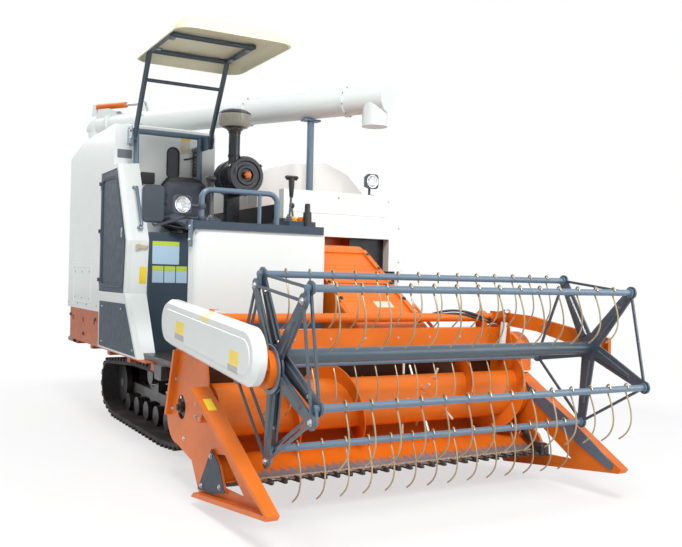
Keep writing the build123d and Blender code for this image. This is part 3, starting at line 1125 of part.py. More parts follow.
def unloader_base():
    """Turning riser of the unloading auger with its elbow, hinge ears and cylinder ear."""
    riser = rod((UNLOADER_X, UNLOADER_Y, RISER_FOOT), (UNLOADER_X, UNLOADER_Y, UNLOADER_Z), UNLOADER_R)
    elbow = Pos(UNLOADER_X, UNLOADER_Y, UNLOADER_Z - 5) * Sphere(ELBOW_R)
    mouth = rod(along_tube(0, UNLOADER_Z), along_tube(HINGE_AT - RUN_GAP, UNLOADER_Z), UNLOADER_R)
    flange = rod(along_tube(HINGE_AT - RUN_GAP - 14, UNLOADER_Z), along_tube(HINGE_AT - RUN_GAP, UNLOADER_Z),
                 UNLOADER_R + 15)
    solid = riser + [elbow, mouth, flange]
    for aside in (-EAR_APART, EAR_APART):
        ear = tube_prism([(40, UNLOADER_Z + 60), (HINGE_AT - RUN_GAP, UNLOADER_Z + 60),
                          (HINGE_AT - RUN_GAP, HINGE_Z - 21), (HINGE_AT + 14, HINGE_Z - 14),
                          (HINGE_AT + 14, HINGE_Z + 16), (70, HINGE_Z + 16)], aside - 6, aside + 6)
        solid += ear
    solid += cross_pin(HINGE_AT, HINGE_Z, CYL_PIN_R, -EAR_APART - 6, EAR_APART + 6)
    for aside in (-EYE_HALF - 9, EYE_HALF + 9):
        solid += tube_prism([(-80, UNLOADER_Z + 50), (0, UNLOADER_Z + 50), (TOP_CYL_AT + 14, TOP_CYL_Z - 14),
                             (TOP_CYL_AT + 14, TOP_CYL_Z + 16), (TOP_CYL_AT - 16, TOP_CYL_Z + 16)], aside - 6, aside + 6)
    return solid + cross_pin(TOP_CYL_AT, TOP_CYL_Z, CYL_PIN_R, -EYE_HALF - 15, EYE_HALF + 15)


def unloader_boom():
    """Long tube of the unloading auger with its hinge lugs, cylinder lug and turned-down spout."""
    end = UNLOADER_LENGTH
    tube = rod(along_tube(HINGE_AT, UNLOADER_Z), along_tube(end, UNLOADER_Z), UNLOADER_R)
    flange = rod(along_tube(HINGE_AT, UNLOADER_Z), along_tube(HINGE_AT + 14, UNLOADER_Z), UNLOADER_R + 15)
    spout = rod(along_tube(end - UNLOADER_R, UNLOADER_Z), along_tube(end - UNLOADER_R, UNLOADER_Z - 210),
                UNLOADER_R - 8)
    solid = tube + [flange, spout]
    for aside in (-EAR_APART + 16, EAR_APART - 16):
        solid += tube_prism([(HINGE_AT, UNLOADER_Z + 60), (HINGE_AT + 150, UNLOADER_Z + 60),
                             (HINGE_AT + 14, HINGE_Z + 14), (HINGE_AT - 10, HINGE_Z + 14),
                             (HINGE_AT - 18, HINGE_Z), (HINGE_AT - 10, HINGE_Z - 14), (HINGE_AT, HINGE_Z - 16)],
                            aside - 8, aside + 8)
    solid -= cross_pin(HINGE_AT, HINGE_Z, CYL_PIN_R + SEAT_GAP, -EAR_APART, EAR_APART)
    eye_at, eye_z = HINGE_AT + TOP_CYL_EYE[0], HINGE_Z + TOP_CYL_EYE[1]
    for aside in (-EYE_HALF - 9, EYE_HALF + 9):
        solid += tube_prism([(eye_at - 60, UNLOADER_Z + 80), (eye_at + 60, UNLOADER_Z + 80), (eye_at + 16, eye_z + 16),
                             (eye_at - 16, eye_z + 16)], aside - 6, aside + 6)
    return solid + cross_pin(eye_at, eye_z, CYL_PIN_R, -EYE_HALF - 15, EYE_HALF + 15)


# -------------------------------------------------------------- cylinders
def barrel_and_rod(base, eye, barrel_r, rod_r, barrel_length, across, play, retract=0):
    """Barrel with its base eye and rod with its end eye, between two pins that lie along `across`.

    play is the rod eye's room round its pin, and retract how far the rod slides in from here.
    """
    base, eye, across = Vector(*base), Vector(*eye), Vector(*across)
    along = (eye - base).normalized()
    ring = max(barrel_r * 0.8, CYL_PIN_R + 8)

    def end_eye(point, inward):
        """Eye ring with the flat neck that leads to the barrel or rod."""
        disc = rod(point - across * EYE_HALF, point + across * EYE_HALF, ring)
        return disc + rod(point, point + inward * (ring + 8), EYE_HALF - 2)

    def pin_hole(point, room):
        return rod(point - across * EYE_HALF * 2, point + across * EYE_HALF * 2, CYL_PIN_R + room)

    stop = base + along * barrel_length
    bore = rod(base + along * (ring + 12), stop, rod_r + SEAT_GAP)
    barrel = (rod(base + along * (ring + 4), stop, barrel_r) - bore + end_eye(base, along)) - pin_hole(base, SEAT_GAP)
    inner_end = base + along * (ring + 12 + BARREL_SPARE + retract)
    shaft = (rod(inner_end, eye - along * (ring + 4), rod_r) + end_eye(eye, -along)) - pin_hole(eye, play)
    return barrel, shaft


def header_cylinder():
    """Lift cylinder between the chassis front and the feeder house."""
    return barrel_and_rod((LIFT_CYL_X, LIFT_CYL_Y, LIFT_CYL_Z),
                          (LIFT_X + LIFT_CYL_EYE[0], LIFT_CYL_Y, LIFT_Z + LIFT_CYL_EYE[1]),
                          LIFT_BARREL_R, LIFT_ROD_R, LIFT_BARREL_LENGTH, (0, 1, 0), LIFT_EYE_PLAY)


def reel_cylinders():
    """The two cylinders that raise the reel's arms, barrels and rods."""
    barrels, shafts = [], []
    for side in (1, -1):
        barrel, shaft = barrel_and_rod((REEL_CYL_X, side * REEL_CYL_Y, REEL_CYL_Z),
                                       (ARM_PIVOT_X + REEL_CYL_EYE[0], side * REEL_CYL_Y, ARM_PIVOT_Z + REEL_CYL_EYE[1]),
                                       REEL_BARREL_R, REEL_ROD_R, REEL_BARREL_LENGTH, (0, 1, 0), REEL_EYE_PLAY)
        barrels.append(barrel)
        shafts.append(shaft)
    return Compound(children=barrels), Compound(children=shafts)


def unloader_cylinder():
    """Cylinder over the elbow that raises the long tube."""
    a = radians(UNLOADER_BEARING)
    return barrel_and_rod(along_tube(TOP_CYL_AT, TOP_CYL_Z),
                          along_tube(HINGE_AT + TOP_CYL_EYE[0], HINGE_Z + TOP_CYL_EYE[1]),
                          TOP_BARREL_R, TOP_ROD_R, TOP_BARREL_LENGTH, (-sin(a), cos(a), 0), TOP_EYE_PLAY, TOP_RETRACT)


# ----------------------------------------------------------------- export
PIECES = {
    "chassis_frame": chassis_frame, "track_frames": track_frames, "track_rollers": track_rollers,
    "drive_sprockets": drive_sprockets, "drive_case": drive_case,
    "engine_block": engine_block, "engine_cover": engine_cover, "operator_floor": operator_floor,
    "front_cowl": front_cowl, "cowl_trim": cowl_trim, "side_console": side_console,
    "control_levers": control_levers, "operator_seat": operator_seat, "seat_frame": seat_frame,
    "guard_rail": guard_rail, "mirror_unit": mirror_unit, "work_lamps": work_lamps,
    "air_cleaner": air_cleaner, "grain_tank": grain_tank, "tank_window": tank_window,
    "front_pillar": front_pillar, "lower_panel": lower_panel, "side_cover": side_cover,
    "canopy_posts": canopy_posts,
    "canopy_roof": canopy_roof, "thresher_body": thresher_body,
    "thresher_front_cover": thresher_front_cover, "drum_cover": drum_cover,
    "straw_hood": straw_hood, "left_covers": left_covers, "rear_guard": rear_guard,
    "auger_post": auger_post, "feeder_house": feeder_house, "header_pan": header_pan,
    "drive_cover": drive_cover, "cutter_guards": cutter_guards, "knife": knife,
    "header_auger": header_auger, "reel": reel, "eccentric_star": eccentric_star,
    "reel_arms": reel_arms, "chain_cover": chain_cover, "unloader_base": unloader_base,
    "unloader_boom": unloader_boom, "fuel_tank": fuel_tank,
}


def build_all():
    """Every node's solid by name."""
    solids = {name: make() for name, make in PIECES.items()}
    for name, side in (("right", -1), ("left", 1)):
        solids["track_" + name] = track(side)
        solids["header_side_" + name] = header_side(side)
    for index in range(BAR_COUNT):
        solids[f"tine_bar_{index + 1}"] = tine_bar(index)
    for name, make in (("header", header_cylinder), ("reel", reel_cylinders), ("unloader", unloader_cylinder)):
        solids[name + "_cylinder_barrel"], solids[name + "_cylinder_rod"] = make()
    return solids


if __name__ == "__main__":
    os.makedirs("parts", exist_ok=True)
    for node, solid in build_all().items():
        export_step(solid, f"parts/{node}.step")
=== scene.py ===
"""Tracked rice combine harvester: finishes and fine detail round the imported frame.

Every piece lies in the machine's own frame, in metres: +X forward, +Y to the machine's left,
+Z up, with the ground at Z = 0. Shapes are worked out as whole numpy arrays.
"""

from __future__ import annotations

import json
import logging
import math
from dataclasses import dataclass, field, replace
from enum import Enum
from typing import Callable, Iterable, Sequence

import bpy
import numpy as np
from mathutils import Matrix, Vector

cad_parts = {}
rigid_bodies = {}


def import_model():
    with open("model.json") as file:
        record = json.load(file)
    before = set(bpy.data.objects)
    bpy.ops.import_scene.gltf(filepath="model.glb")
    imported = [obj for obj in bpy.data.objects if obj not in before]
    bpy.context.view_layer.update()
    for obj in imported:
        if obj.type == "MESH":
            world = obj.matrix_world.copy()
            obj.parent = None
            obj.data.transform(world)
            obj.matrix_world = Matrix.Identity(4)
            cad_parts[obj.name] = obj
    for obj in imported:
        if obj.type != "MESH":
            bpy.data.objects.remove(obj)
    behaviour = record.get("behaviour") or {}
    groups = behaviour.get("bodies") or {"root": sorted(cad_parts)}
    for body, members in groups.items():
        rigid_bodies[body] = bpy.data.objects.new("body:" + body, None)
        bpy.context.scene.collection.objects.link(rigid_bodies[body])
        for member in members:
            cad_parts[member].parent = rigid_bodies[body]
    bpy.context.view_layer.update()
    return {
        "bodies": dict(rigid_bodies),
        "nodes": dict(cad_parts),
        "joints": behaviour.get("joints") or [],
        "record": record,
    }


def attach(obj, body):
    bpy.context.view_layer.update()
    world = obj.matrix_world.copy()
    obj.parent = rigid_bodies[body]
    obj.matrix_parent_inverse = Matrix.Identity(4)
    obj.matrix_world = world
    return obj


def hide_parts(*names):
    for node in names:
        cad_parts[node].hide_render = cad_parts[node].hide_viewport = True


LOG = logging.getLogger("combine")
Array = np.ndarray
Colour = tuple[float, float, float]
Triple = tuple[float, float, float]
Rows = list[tuple[float, float]]

X, Y, Z = np.eye(3)
CORNER = 0.0004  # least radius of a pressed body's corner
FLOAT = "NodeSocketFloat"
LABEL: Rows = [(0, 0), (0.0012, 0.0004)]  # section of a stuck-on label
PAD: Rows = [(0, 0), (0.003, 0.001)]  # section of a thin raised pad
TANK_FRONT = -0.709  # X of the grain tank's front wall


# ------------------------------------------------------------------ shapes
@dataclass
class Shape:
    """A mesh as whole arrays: points (N, 3), four-sided faces (M, 4) and any other faces."""

    points: Array
    quads: Array = field(default_factory=lambda: np.zeros((0, 4), int))
    others: list[list[int]] = field(default_factory=list)

    def moved(self, matrix: Array) -> "Shape":
        """Returns the shape under a 4x4 matrix."""
        points = self.points @ matrix[:3, :3].T + matrix[:3, 3]
        return Shape(points, self.quads, self.others)

    def repeated(self, offsets: Array) -> "Shape":
        """Returns one copy of the shape for each (x, y, z) offset.

        Args:
            offsets: (N, 3) steps, one for each copy.

        Returns:
            All the copies as one shape.
        """
        count, size = len(offsets), len(self.points)
        points = (self.points[None] + np.asarray(offsets, float)[:, None]).reshape(-1, 3)
        steps = np.arange(count) * size
        quads = self.quads
        if len(quads):
            quads = (quads[None] + steps[:, None, None]).reshape(-1, 4)
        others = [[i + int(s) for i in face] for s in steps for face in self.others]
        return Shape(points, quads, others)


def columns(*parts: Array | float) -> Array:
    """Returns the parts side by side as the last axis, each stretched to their common shape."""
    return np.stack(np.broadcast_arrays(*parts), -1)


def around(count: int) -> Array:
    """Returns evenly spaced angles once round, in radians."""
    return np.linspace(0, 2 * np.pi, count, endpoint=False)


def merged(shapes: Iterable[Shape]) -> Shape:
    """Joins shapes into one.

    Args:
        shapes: the shapes, in order.

    Returns:
        One shape with all their points and faces.
    """
    points, quads, others, size = [], [], [], 0
    for shape in shapes:
        points.append(shape.points)
        quads.append(shape.quads + size)
        others += [[i + size for i in face] for face in shape.others]
        size += len(shape.points)
    return Shape(np.concatenate(points), np.concatenate(quads), others)


def outward(shape: Shape) -> Shape:
    """Turns a closed shape's faces outwards, judged by the sign of its volume.

    Args:
        shape: a closed shape.

    Returns:
        The shape with its faces pointing out.
    """
    p, q = shape.points, shape.quads
    volume = 0.0
    if len(q):
        a, b, c, d = (p[q[:, i]] for i in range(4))
        volume += float((np.cross(a, b) * c).sum() + (np.cross(a, c) * d).sum())
    for face in shape.others:
        ring = p[face]
        volume += float((np.cross(ring[0], ring[1:-1]) * ring[2:]).sum())
    if volume >= 0:
        return shape
    return Shape(p, q[:, ::-1], [face[::-1] for face in shape.others])


def sheet_of(
        grid: Array, close_u: bool = False, close_v: bool = False, caps: bool = False) -> Shape:
    """Skins a grid of points (rows, columns, 3) with four-sided faces.

    Args:
        grid: points; neighbours in both directions share a face.
        close_u: the last row joins the first.
        close_v: the last column joins the first.
        caps: the first and last rows are closed by one face each.

    Returns:
        The skinned shape, its faces pointing along rows x columns.
    """
    rows, cols = grid.shape[:2]
    r = np.arange(rows if close_u else rows - 1)
    c = np.arange(cols if close_v else cols - 1)
    rr, cc = np.meshgrid(r, c, indexing="ij")
    r2, c2 = (rr + 1) % rows, (cc + 1) % cols
    quads = columns(rr * cols + cc, r2 * cols + cc, r2 * cols + c2, rr * cols + c2).reshape(-1, 4)
    others = []
    if caps:
        others = [list(range(cols)), [(rows - 1) * cols + i for i in reversed(range(cols))]]
    return Shape(grid.reshape(-1, 3), quads, others)


def skin(rings: Array | list[Array]) -> Shape:
    """Returns the closed body over rows of rings, with both end rings filled and its faces outward.
    """
    return outward(sheet_of(np.asarray(rings), close_v=True, caps=True))


def frames_along(path: Array) -> tuple[Array, Array, Array]:
    """Tangent, side and up vectors along a path, carried from point to point without twist.

    Args:
        path: (N, 3) points.

    Returns:
        Three (N, 3) arrays of unit vectors.
    """
    tangent = np.gradient(path, axis=0)
    tangent /= np.linalg.norm(tangent, axis=1)[:, None]
    side = np.empty_like(path)
    start = Z if abs(tangent[0, 2]) < 0.9 else Y
    last = np.cross(start, tangent[0])
    for index, direction in enumerate(tangent):
        last = last - direction * (last @ direction)
        last = last / np.linalg.norm(last)
        side[index] = last
    return tangent, side, np.cross(tangent, side)


def tube(path: Array, radius: float | Array, sides: int = 10, ends: bool = True) -> Shape:
    """Round tube: centre + radius * (cos a * side + sin a * up), a running once round.

    Args:
        path: (N, 3) centre line.
        radius: one radius, or one for each point.
        sides: facets round the tube.
        ends: both ends are closed.

    Returns:
        The tube's skin.
    """
    path = np.asarray(path, float)
    _, side, up = frames_along(path)
    a = around(sides)
    r = np.broadcast_to(np.asarray(radius, float), (len(path),))[:, None, None]
    ring = np.cos(a)[None, :, None] * side[:, None] + np.sin(a)[None, :, None] * up[:, None]
    return outward(sheet_of(path[:, None] + r * ring, close_v=True, caps=ends))


def turned(profile: Array, origin: Sequence[float], axis: Sequence[float],
           sides: int = 32) -> Shape:
    """Turned body: each (radius, height) of the profile swept once round the axis.

    Args:
        profile: (N, 2) radius and height along the axis.
        origin: where height is zero.
        axis: direction of the axis.
        sides: facets round it.

    Returns:
        The skin; a radius of zero closes an end.
    """
    along = unit(axis)
    first = unit(np.cross(along, Z if abs(along[2]) < 0.9 else X))
    second = np.cross(along, first)
    a = around(sides)
    ring = np.cos(a)[:, None] * first + np.sin(a)[:, None] * second
    profile = np.asarray(profile, float)
    radii, heights = profile[:, 0, None, None], profile[:, 1, None, None]
    return skin(np.asarray(origin, float) + heights * along + radii * ring)


def slab(outline: Array, normal: Sequence[float], thickness: float, rim: float = 0.0) -> Shape:
    """Flat plate: its outline carried along the normal, its far rim drawn in by `rim`.

    Args:
        outline: (N, 3) points in one plane, anticlockwise seen against the normal.
        normal: unit vector out of the plate's face.
        thickness: depth along the normal.
        rim: how far the face's edge is chamfered inwards.

    Returns:
        A closed plate.
    """
    outline = np.asarray(outline, float)
    n = np.asarray(normal, float)
    middle = outline.mean(0)
    inward = middle - outline
    inward /= np.linalg.norm(inward, axis=1)[:, None]
    rows = [outline, outline + n * (thickness - min(rim, thickness)),
            outline + n * thickness + inward * rim]
    return skin(rows)


def unit(vector: Sequence[float]) -> Array:
    """Returns the vector at length one."""
    v = np.asarray(vector, float)
    return v / np.linalg.norm(v)


def rounded_outline(width: float, height: float, corner: float, steps: int = 5) -> Array:
    """Rounded rectangle round (0, 0): four quarter circles joined anticlockwise.

    Args:
        width: size along the first axis.
        height: size along the second.
        corner: radius of the corners.
        steps: segments in each quarter circle.

    Returns:
        (4 * (steps + 1), 2) points.
    """
    a = np.arange(4)[:, None] * np.pi / 2 + np.linspace(0, np.pi / 2, steps + 1)[None]
    signs = np.array([[1, 1], [-1, 1], [-1, -1], [1, -1]], float)
    centres = signs * np.array([width / 2 - corner, height / 2 - corner])
    return (centres[:, None] + corner * columns(np.cos(a), np.sin(a))).reshape(-1, 2)


def pressed(centre: Sequence[float], u: Sequence[float], v: Sequence[float], width: float,
            height: float, corner: float, rows: Sequence[tuple[float, float]],
            steps: int = 5) -> Shape:
    """Body with a rounded-rectangle outline that is drawn in from row to row along u x v.

    Args:
        centre: middle of the outline where the distance is zero.
        u: direction of the width.
        v: direction of the height.
        width: width of the outline.
        height: height of the outline.
        corner: its corner radius.
        rows: (distance along u x v, how far the outline is drawn in).
        steps: segments in each corner.

    Returns:
        A closed body.
    """
    u, v = unit(u), unit(v)
    n = np.cross(u, v)
    grid = []
    for along, inset in rows:
        flat = rounded_outline(
            width - 2 * inset, height - 2 * inset, max(corner - inset, CORNER), steps)
        grid.append(np.asarray(centre, float) + flat[:, :1] * u + flat[:, 1:] * v + along * n)
    return skin(grid)


def loop(path: Array, radius: float, flat: Sequence[float], sides: int = 8) -> Shape:
    """Round cord along a closed path that lies roughly square to `flat`.

    Args:
        path: (N, 3) points, the last joined to the first.
        radius: the cord's radius.
        flat: a direction that the path never follows.
        sides: facets round the cord.

    Returns:
        A closed ring.
    """
    tangent = np.roll(path, -1, 0) - np.roll(path, 1, 0)
    side = np.cross(tangent, np.asarray(flat, float))
    side /= np.linalg.norm(side, axis=1)[:, None]
    up = np.cross(side, tangent)
    up /= np.linalg.norm(up, axis=1)[:, None]
    a = around(sides)
    ring = np.cos(a)[None, :, None] * side[:, None] + np.sin(a)[None, :, None] * up[:, None]
    return outward(sheet_of(path[:, None] + radius * ring, close_u=True, close_v=True))


def bolts(places: Array, axis: Sequence[float], across: float = 0.017,
          height: float = 0.008) -> Shape:
    """Hexagon bolts, each on its washer.

    Args:
        places: (N, 3) points on the surface.
        axis: direction that the heads face.
        across: width of a head over its corners.
        height: height of head and washer together.

    Returns:
        One shape with every bolt.
    """
    r, w = across / 2, height * 0.22
    washer = turned([(r * 1.45, 0.0), (r * 1.45, w * 0.8), (r * 1.35, w)], (0, 0, 0), axis, 14)
    head = turned([(r, w), (r, height * 0.86), (r * 0.86, height)], (0, 0, 0), axis, 6)
    return merged([washer, head]).repeated(np.asarray(places, float).reshape(-1, 3))


# --------------------------------------------------------------- materials
def node_group(name: str, inputs: Sequence[tuple[str, str, object]],
               outputs: Sequence[tuple[str, str]]) -> tuple:
    """Starts a shader node group with named sockets.

    Args:
        name: the group's name.
        inputs: (name, socket type, default) for each input.
        outputs: (name, socket type) for each output.

    Returns:
        The group's tree, its input node and its output node.
    """
    tree = bpy.data.node_groups.new(name, "ShaderNodeTree")
    for label, kind, default in inputs:
        socket = tree.interface.new_socket(label, in_out="INPUT", socket_type=kind)
        socket.default_value = default
    for label, kind in outputs:
        tree.interface.new_socket(label, in_out="OUTPUT", socket_type=kind)
    return tree, tree.nodes.new("NodeGroupInput"), tree.nodes.new("NodeGroupOutput")


class Wiring:
    """Short ways to add and join nodes in one tree."""

    def __init__(self, tree: bpy.types.NodeTree) -> None:
        """Keeps the tree that the nodes go into."""
        self.tree = tree

    def add(self, kind: str, **values: object) -> bpy.types.Node:
        """Adds a node.

        Args:
            kind: the node's type name.
            values: attributes, or inputs by index as in_0, in_1.

        Returns:
            The new node.
        """
        node = self.tree.nodes.new(kind)
        for key, value in values.items():
            if key.startswith("in_"):
                self.put(node.inputs[int(key[3:])], value)
            else:
                setattr(node, key, value)
        return node

    def put(self, socket: bpy.types.NodeSocket, value: object) -> None:
        """Links another node's output to the socket, or sets its value.

        Args:
            socket: the input.
            value: an output to link, or a plain value.
        """
        if isinstance(value, bpy.types.NodeSocket):
            self.tree.links.new(value, socket)
        else:
            socket.default_value = value

    def math(self, operation: str, *terms: object) -> bpy.types.NodeSocket:
        """Returns the output of a Math node over its terms."""
        values = {f"in_{index}": term for index, term in enumerate(terms)}
        return self.add("ShaderNodeMath", operation=operation, **values).outputs[0]

    def noise(self, vector: bpy.types.NodeSocket, scale: float,
              detail: float = 3.0) -> bpy.types.NodeSocket:
        """Returns a noise value over the vector.

        Args:
            vector: where the noise is read.
            scale: how fine it is.
            detail: how many layers it has.

        Returns:
            The value, from 0 to 1.
        """
        node = self.add("ShaderNodeTexNoise")
        self.tree.links.new(vector, node.inputs["Vector"])
        node.inputs["Scale"].default_value = scale
        node.inputs["Detail"].default_value = detail
        return node.outputs[0]

    def ramp(self, value: object, low: float, high: float) -> bpy.types.NodeSocket:
        """Returns the value mapped smoothly from low..high to 0..1.

        Args:
            value: what is mapped.
            low: gives 0.
            high: gives 1.

        Returns:
            The mapped value.
        """
        node = self.add(
            "ShaderNodeMapRange", interpolation_type="SMOOTHSTEP", in_0=value, in_1=low, in_2=high)
        return node.outputs[0]

    def mix(self, share: object, first: object, second: object) -> bpy.types.NodeSocket:
        """Returns two colours mixed by share."""
        node = self.add("ShaderNodeMix", data_type="RGBA", in_0=share, in_6=first, in_7=second)
        return node.outputs[2]

    @staticmethod
    def fill(node: bpy.types.Node, values: dict[str, object]) -> None:
        """Sets a node's inputs by name."""
        for key, value in values.items():
            node.inputs[key].default_value = value

    def join(self, source: bpy.types.NodeSocket, target: bpy.types.NodeSocket) -> None:
        """Links two sockets."""
        self.tree.links.new(source, target)


class Effects:
    """Shared effects, each one node group made once."""

    def __init__(self) -> None:
        """Builds the groups."""
        self.wear = self._edge_wear()
        self.dust = self._dust()
        self.peel = self._peel()
        self.block = self._block()

    @staticmethod
    def _edge_wear() -> bpy.types.NodeTree:
        """Edge wear: one minus the dot product of the true and the rounded normal, broken up by
        noise.

        Returns:
            The group, with Radius, Amount and Scale in and Mask out.
        """
        tree, given, made = node_group(
            "edge_wear", [("Radius", FLOAT, 0.006), ("Amount", FLOAT, 0.5),
                          ("Scale", FLOAT, 30.0)], [("Mask", FLOAT)])
        w = Wiring(tree)
        rounded = w.add("ShaderNodeBevel", samples=4)
        w.join(given.outputs["Radius"], rounded.inputs["Radius"])
        true = w.add("ShaderNodeNewGeometry")
        dot = w.add("ShaderNodeVectorMath", operation="DOT_PRODUCT", in_0=rounded.outputs[0],
                    in_1=true.outputs["Normal"])
        edge = w.ramp(w.math("SUBTRACT", 1.0, dot.outputs["Value"]), 0.02, 0.25)
        place = w.add("ShaderNodeTexCoord").outputs["Object"]
        spots = w.add("ShaderNodeTexNoise")
        w.join(place, spots.inputs["Vector"])
        w.join(given.outputs["Scale"], spots.inputs["Scale"])
        spots.inputs["Detail"].default_value = 5.0
        broken = w.ramp(spots.outputs[0], 0.5, 0.62)
        mask = w.math("MULTIPLY", w.math("MULTIPLY", edge, broken), given.outputs["Amount"])
        w.join(mask, made.inputs["Mask"])
        return tree

    @staticmethod
    def _dust() -> bpy.types.NodeTree:
        """Dust: more on faces that look up and low on the machine, in soft clouds.

        Returns:
            The group, with Top and Amount in and Mask out.
        """
        tree, given, made = node_group(
            "field_dust", [("Top", FLOAT, 0.7), ("Amount", FLOAT, 0.4)], [("Mask", FLOAT)])
        w = Wiring(tree)
        place = w.add("ShaderNodeTexCoord").outputs["Object"]
        parts = w.add("ShaderNodeSeparateXYZ", in_0=place)
        low = w.add("ShaderNodeMapRange", interpolation_type="SMOOTHSTEP", in_0=parts.outputs[2],
                    in_2=0.0, in_3=0.0, in_4=1.0)
        w.join(given.outputs["Top"], low.inputs[1])
        up = w.add("ShaderNodeSeparateXYZ", in_0=w.add("ShaderNodeNewGeometry").outputs["Normal"])
        flat = w.math("MULTIPLY", w.ramp(up.outputs[2], 0.3, 1.0), 0.55)
        cloud = w.ramp(w.noise(place, 5.0, 6.0), 0.35, 0.7)
        fine = w.ramp(w.noise(place, 55.0, 3.0), 0.3, 0.75)
        both = w.math(
            "MULTIPLY", w.math("ADD", low.outputs[0], flat), w.math("MULTIPLY", cloud, fine))
        w.join(w.math("MULTIPLY", both, given.outputs["Amount"]), made.inputs["Mask"])
        return tree

    @staticmethod
    def _peel() -> bpy.types.NodeTree:
        """Orange peel of sprayed enamel: two fine noises added as a height.

        Returns:
            The group, with Scale in and Height out.
        """
        tree, given, made = node_group(
            "sprayed_peel", [("Scale", FLOAT, 240.0)], [("Height", FLOAT)])
        w = Wiring(tree)
        place = w.add("ShaderNodeTexCoord").outputs["Object"]
        fine = w.add("ShaderNodeTexNoise")
        w.join(place, fine.inputs["Vector"])
        w.join(given.outputs["Scale"], fine.inputs["Scale"])
        broad = w.noise(place, 12.0, 2.0)
        w.join(w.math("ADD", w.math("MULTIPLY", fine.outputs[0], 0.6),
                      w.math("MULTIPLY", broad, 0.8)), made.inputs["Height"])
        return tree

    @staticmethod
    def _block() -> bpy.types.NodeTree:
        """Painted block: one where the place, turned about Y round a centre, lies within half sizes
        of it.

        Returns:
            The group, with Centre, Half and Turn in and Mask out.
        """
        tree, given, made = node_group(
            "painted_block",
            [("Centre", "NodeSocketVector", (0, 0, 0)), ("Half", "NodeSocketVector", (1, 1, 1)),
             ("Turn", FLOAT, 0.0)],
            [("Mask", FLOAT)])
        w = Wiring(tree)
        place = w.add("ShaderNodeTexCoord").outputs["Object"]
        turned_place = w.add("ShaderNodeVectorRotate", rotation_type="Y_AXIS", in_0=place)
        w.join(given.outputs["Centre"], turned_place.inputs["Center"])
        w.join(given.outputs["Turn"], turned_place.inputs["Angle"])
        off = w.add("ShaderNodeVectorMath", operation="SUBTRACT", in_0=turned_place.outputs[0],
                    in_1=given.outputs["Centre"])
        size = w.add("ShaderNodeVectorMath", operation="ABSOLUTE", in_0=off.outputs[0])
        room = w.add("ShaderNodeVectorMath", operation="SUBTRACT", in_0=given.outputs["Half"],
                     in_1=size.outputs[0])
        parts = w.add("ShaderNodeSeparateXYZ", in_0=room.outputs[0])
        least = w.math(
            "MINIMUM", w.math("MINIMUM", parts.outputs[0], parts.outputs[1]), parts.outputs[2])
        w.join(w.math("GREATER_THAN", least, 0.0), made.inputs["Mask"])
        return tree


class Base(Enum):
    """What a finish lies on, which sets how its surface breaks up."""

    ENAMEL = "enamel"
    PLASTIC = "plastic"
    RUBBER = "rubber"
    METAL = "metal"


COAT_ROUGHNESS = 0.12
DUST_COLOUR = (0.36, 0.31, 0.24, 1.0)
DUST_ROUGHNESS = 0.5  # how much full dust adds
ROUGHEST = 0.95
GLOSS_SPREAD = (-0.06, 0.08)  # least and most that the gloss noise adds to the roughness
RUBBER_SCUFF = 2.2  # how much paler scuffed rubber is


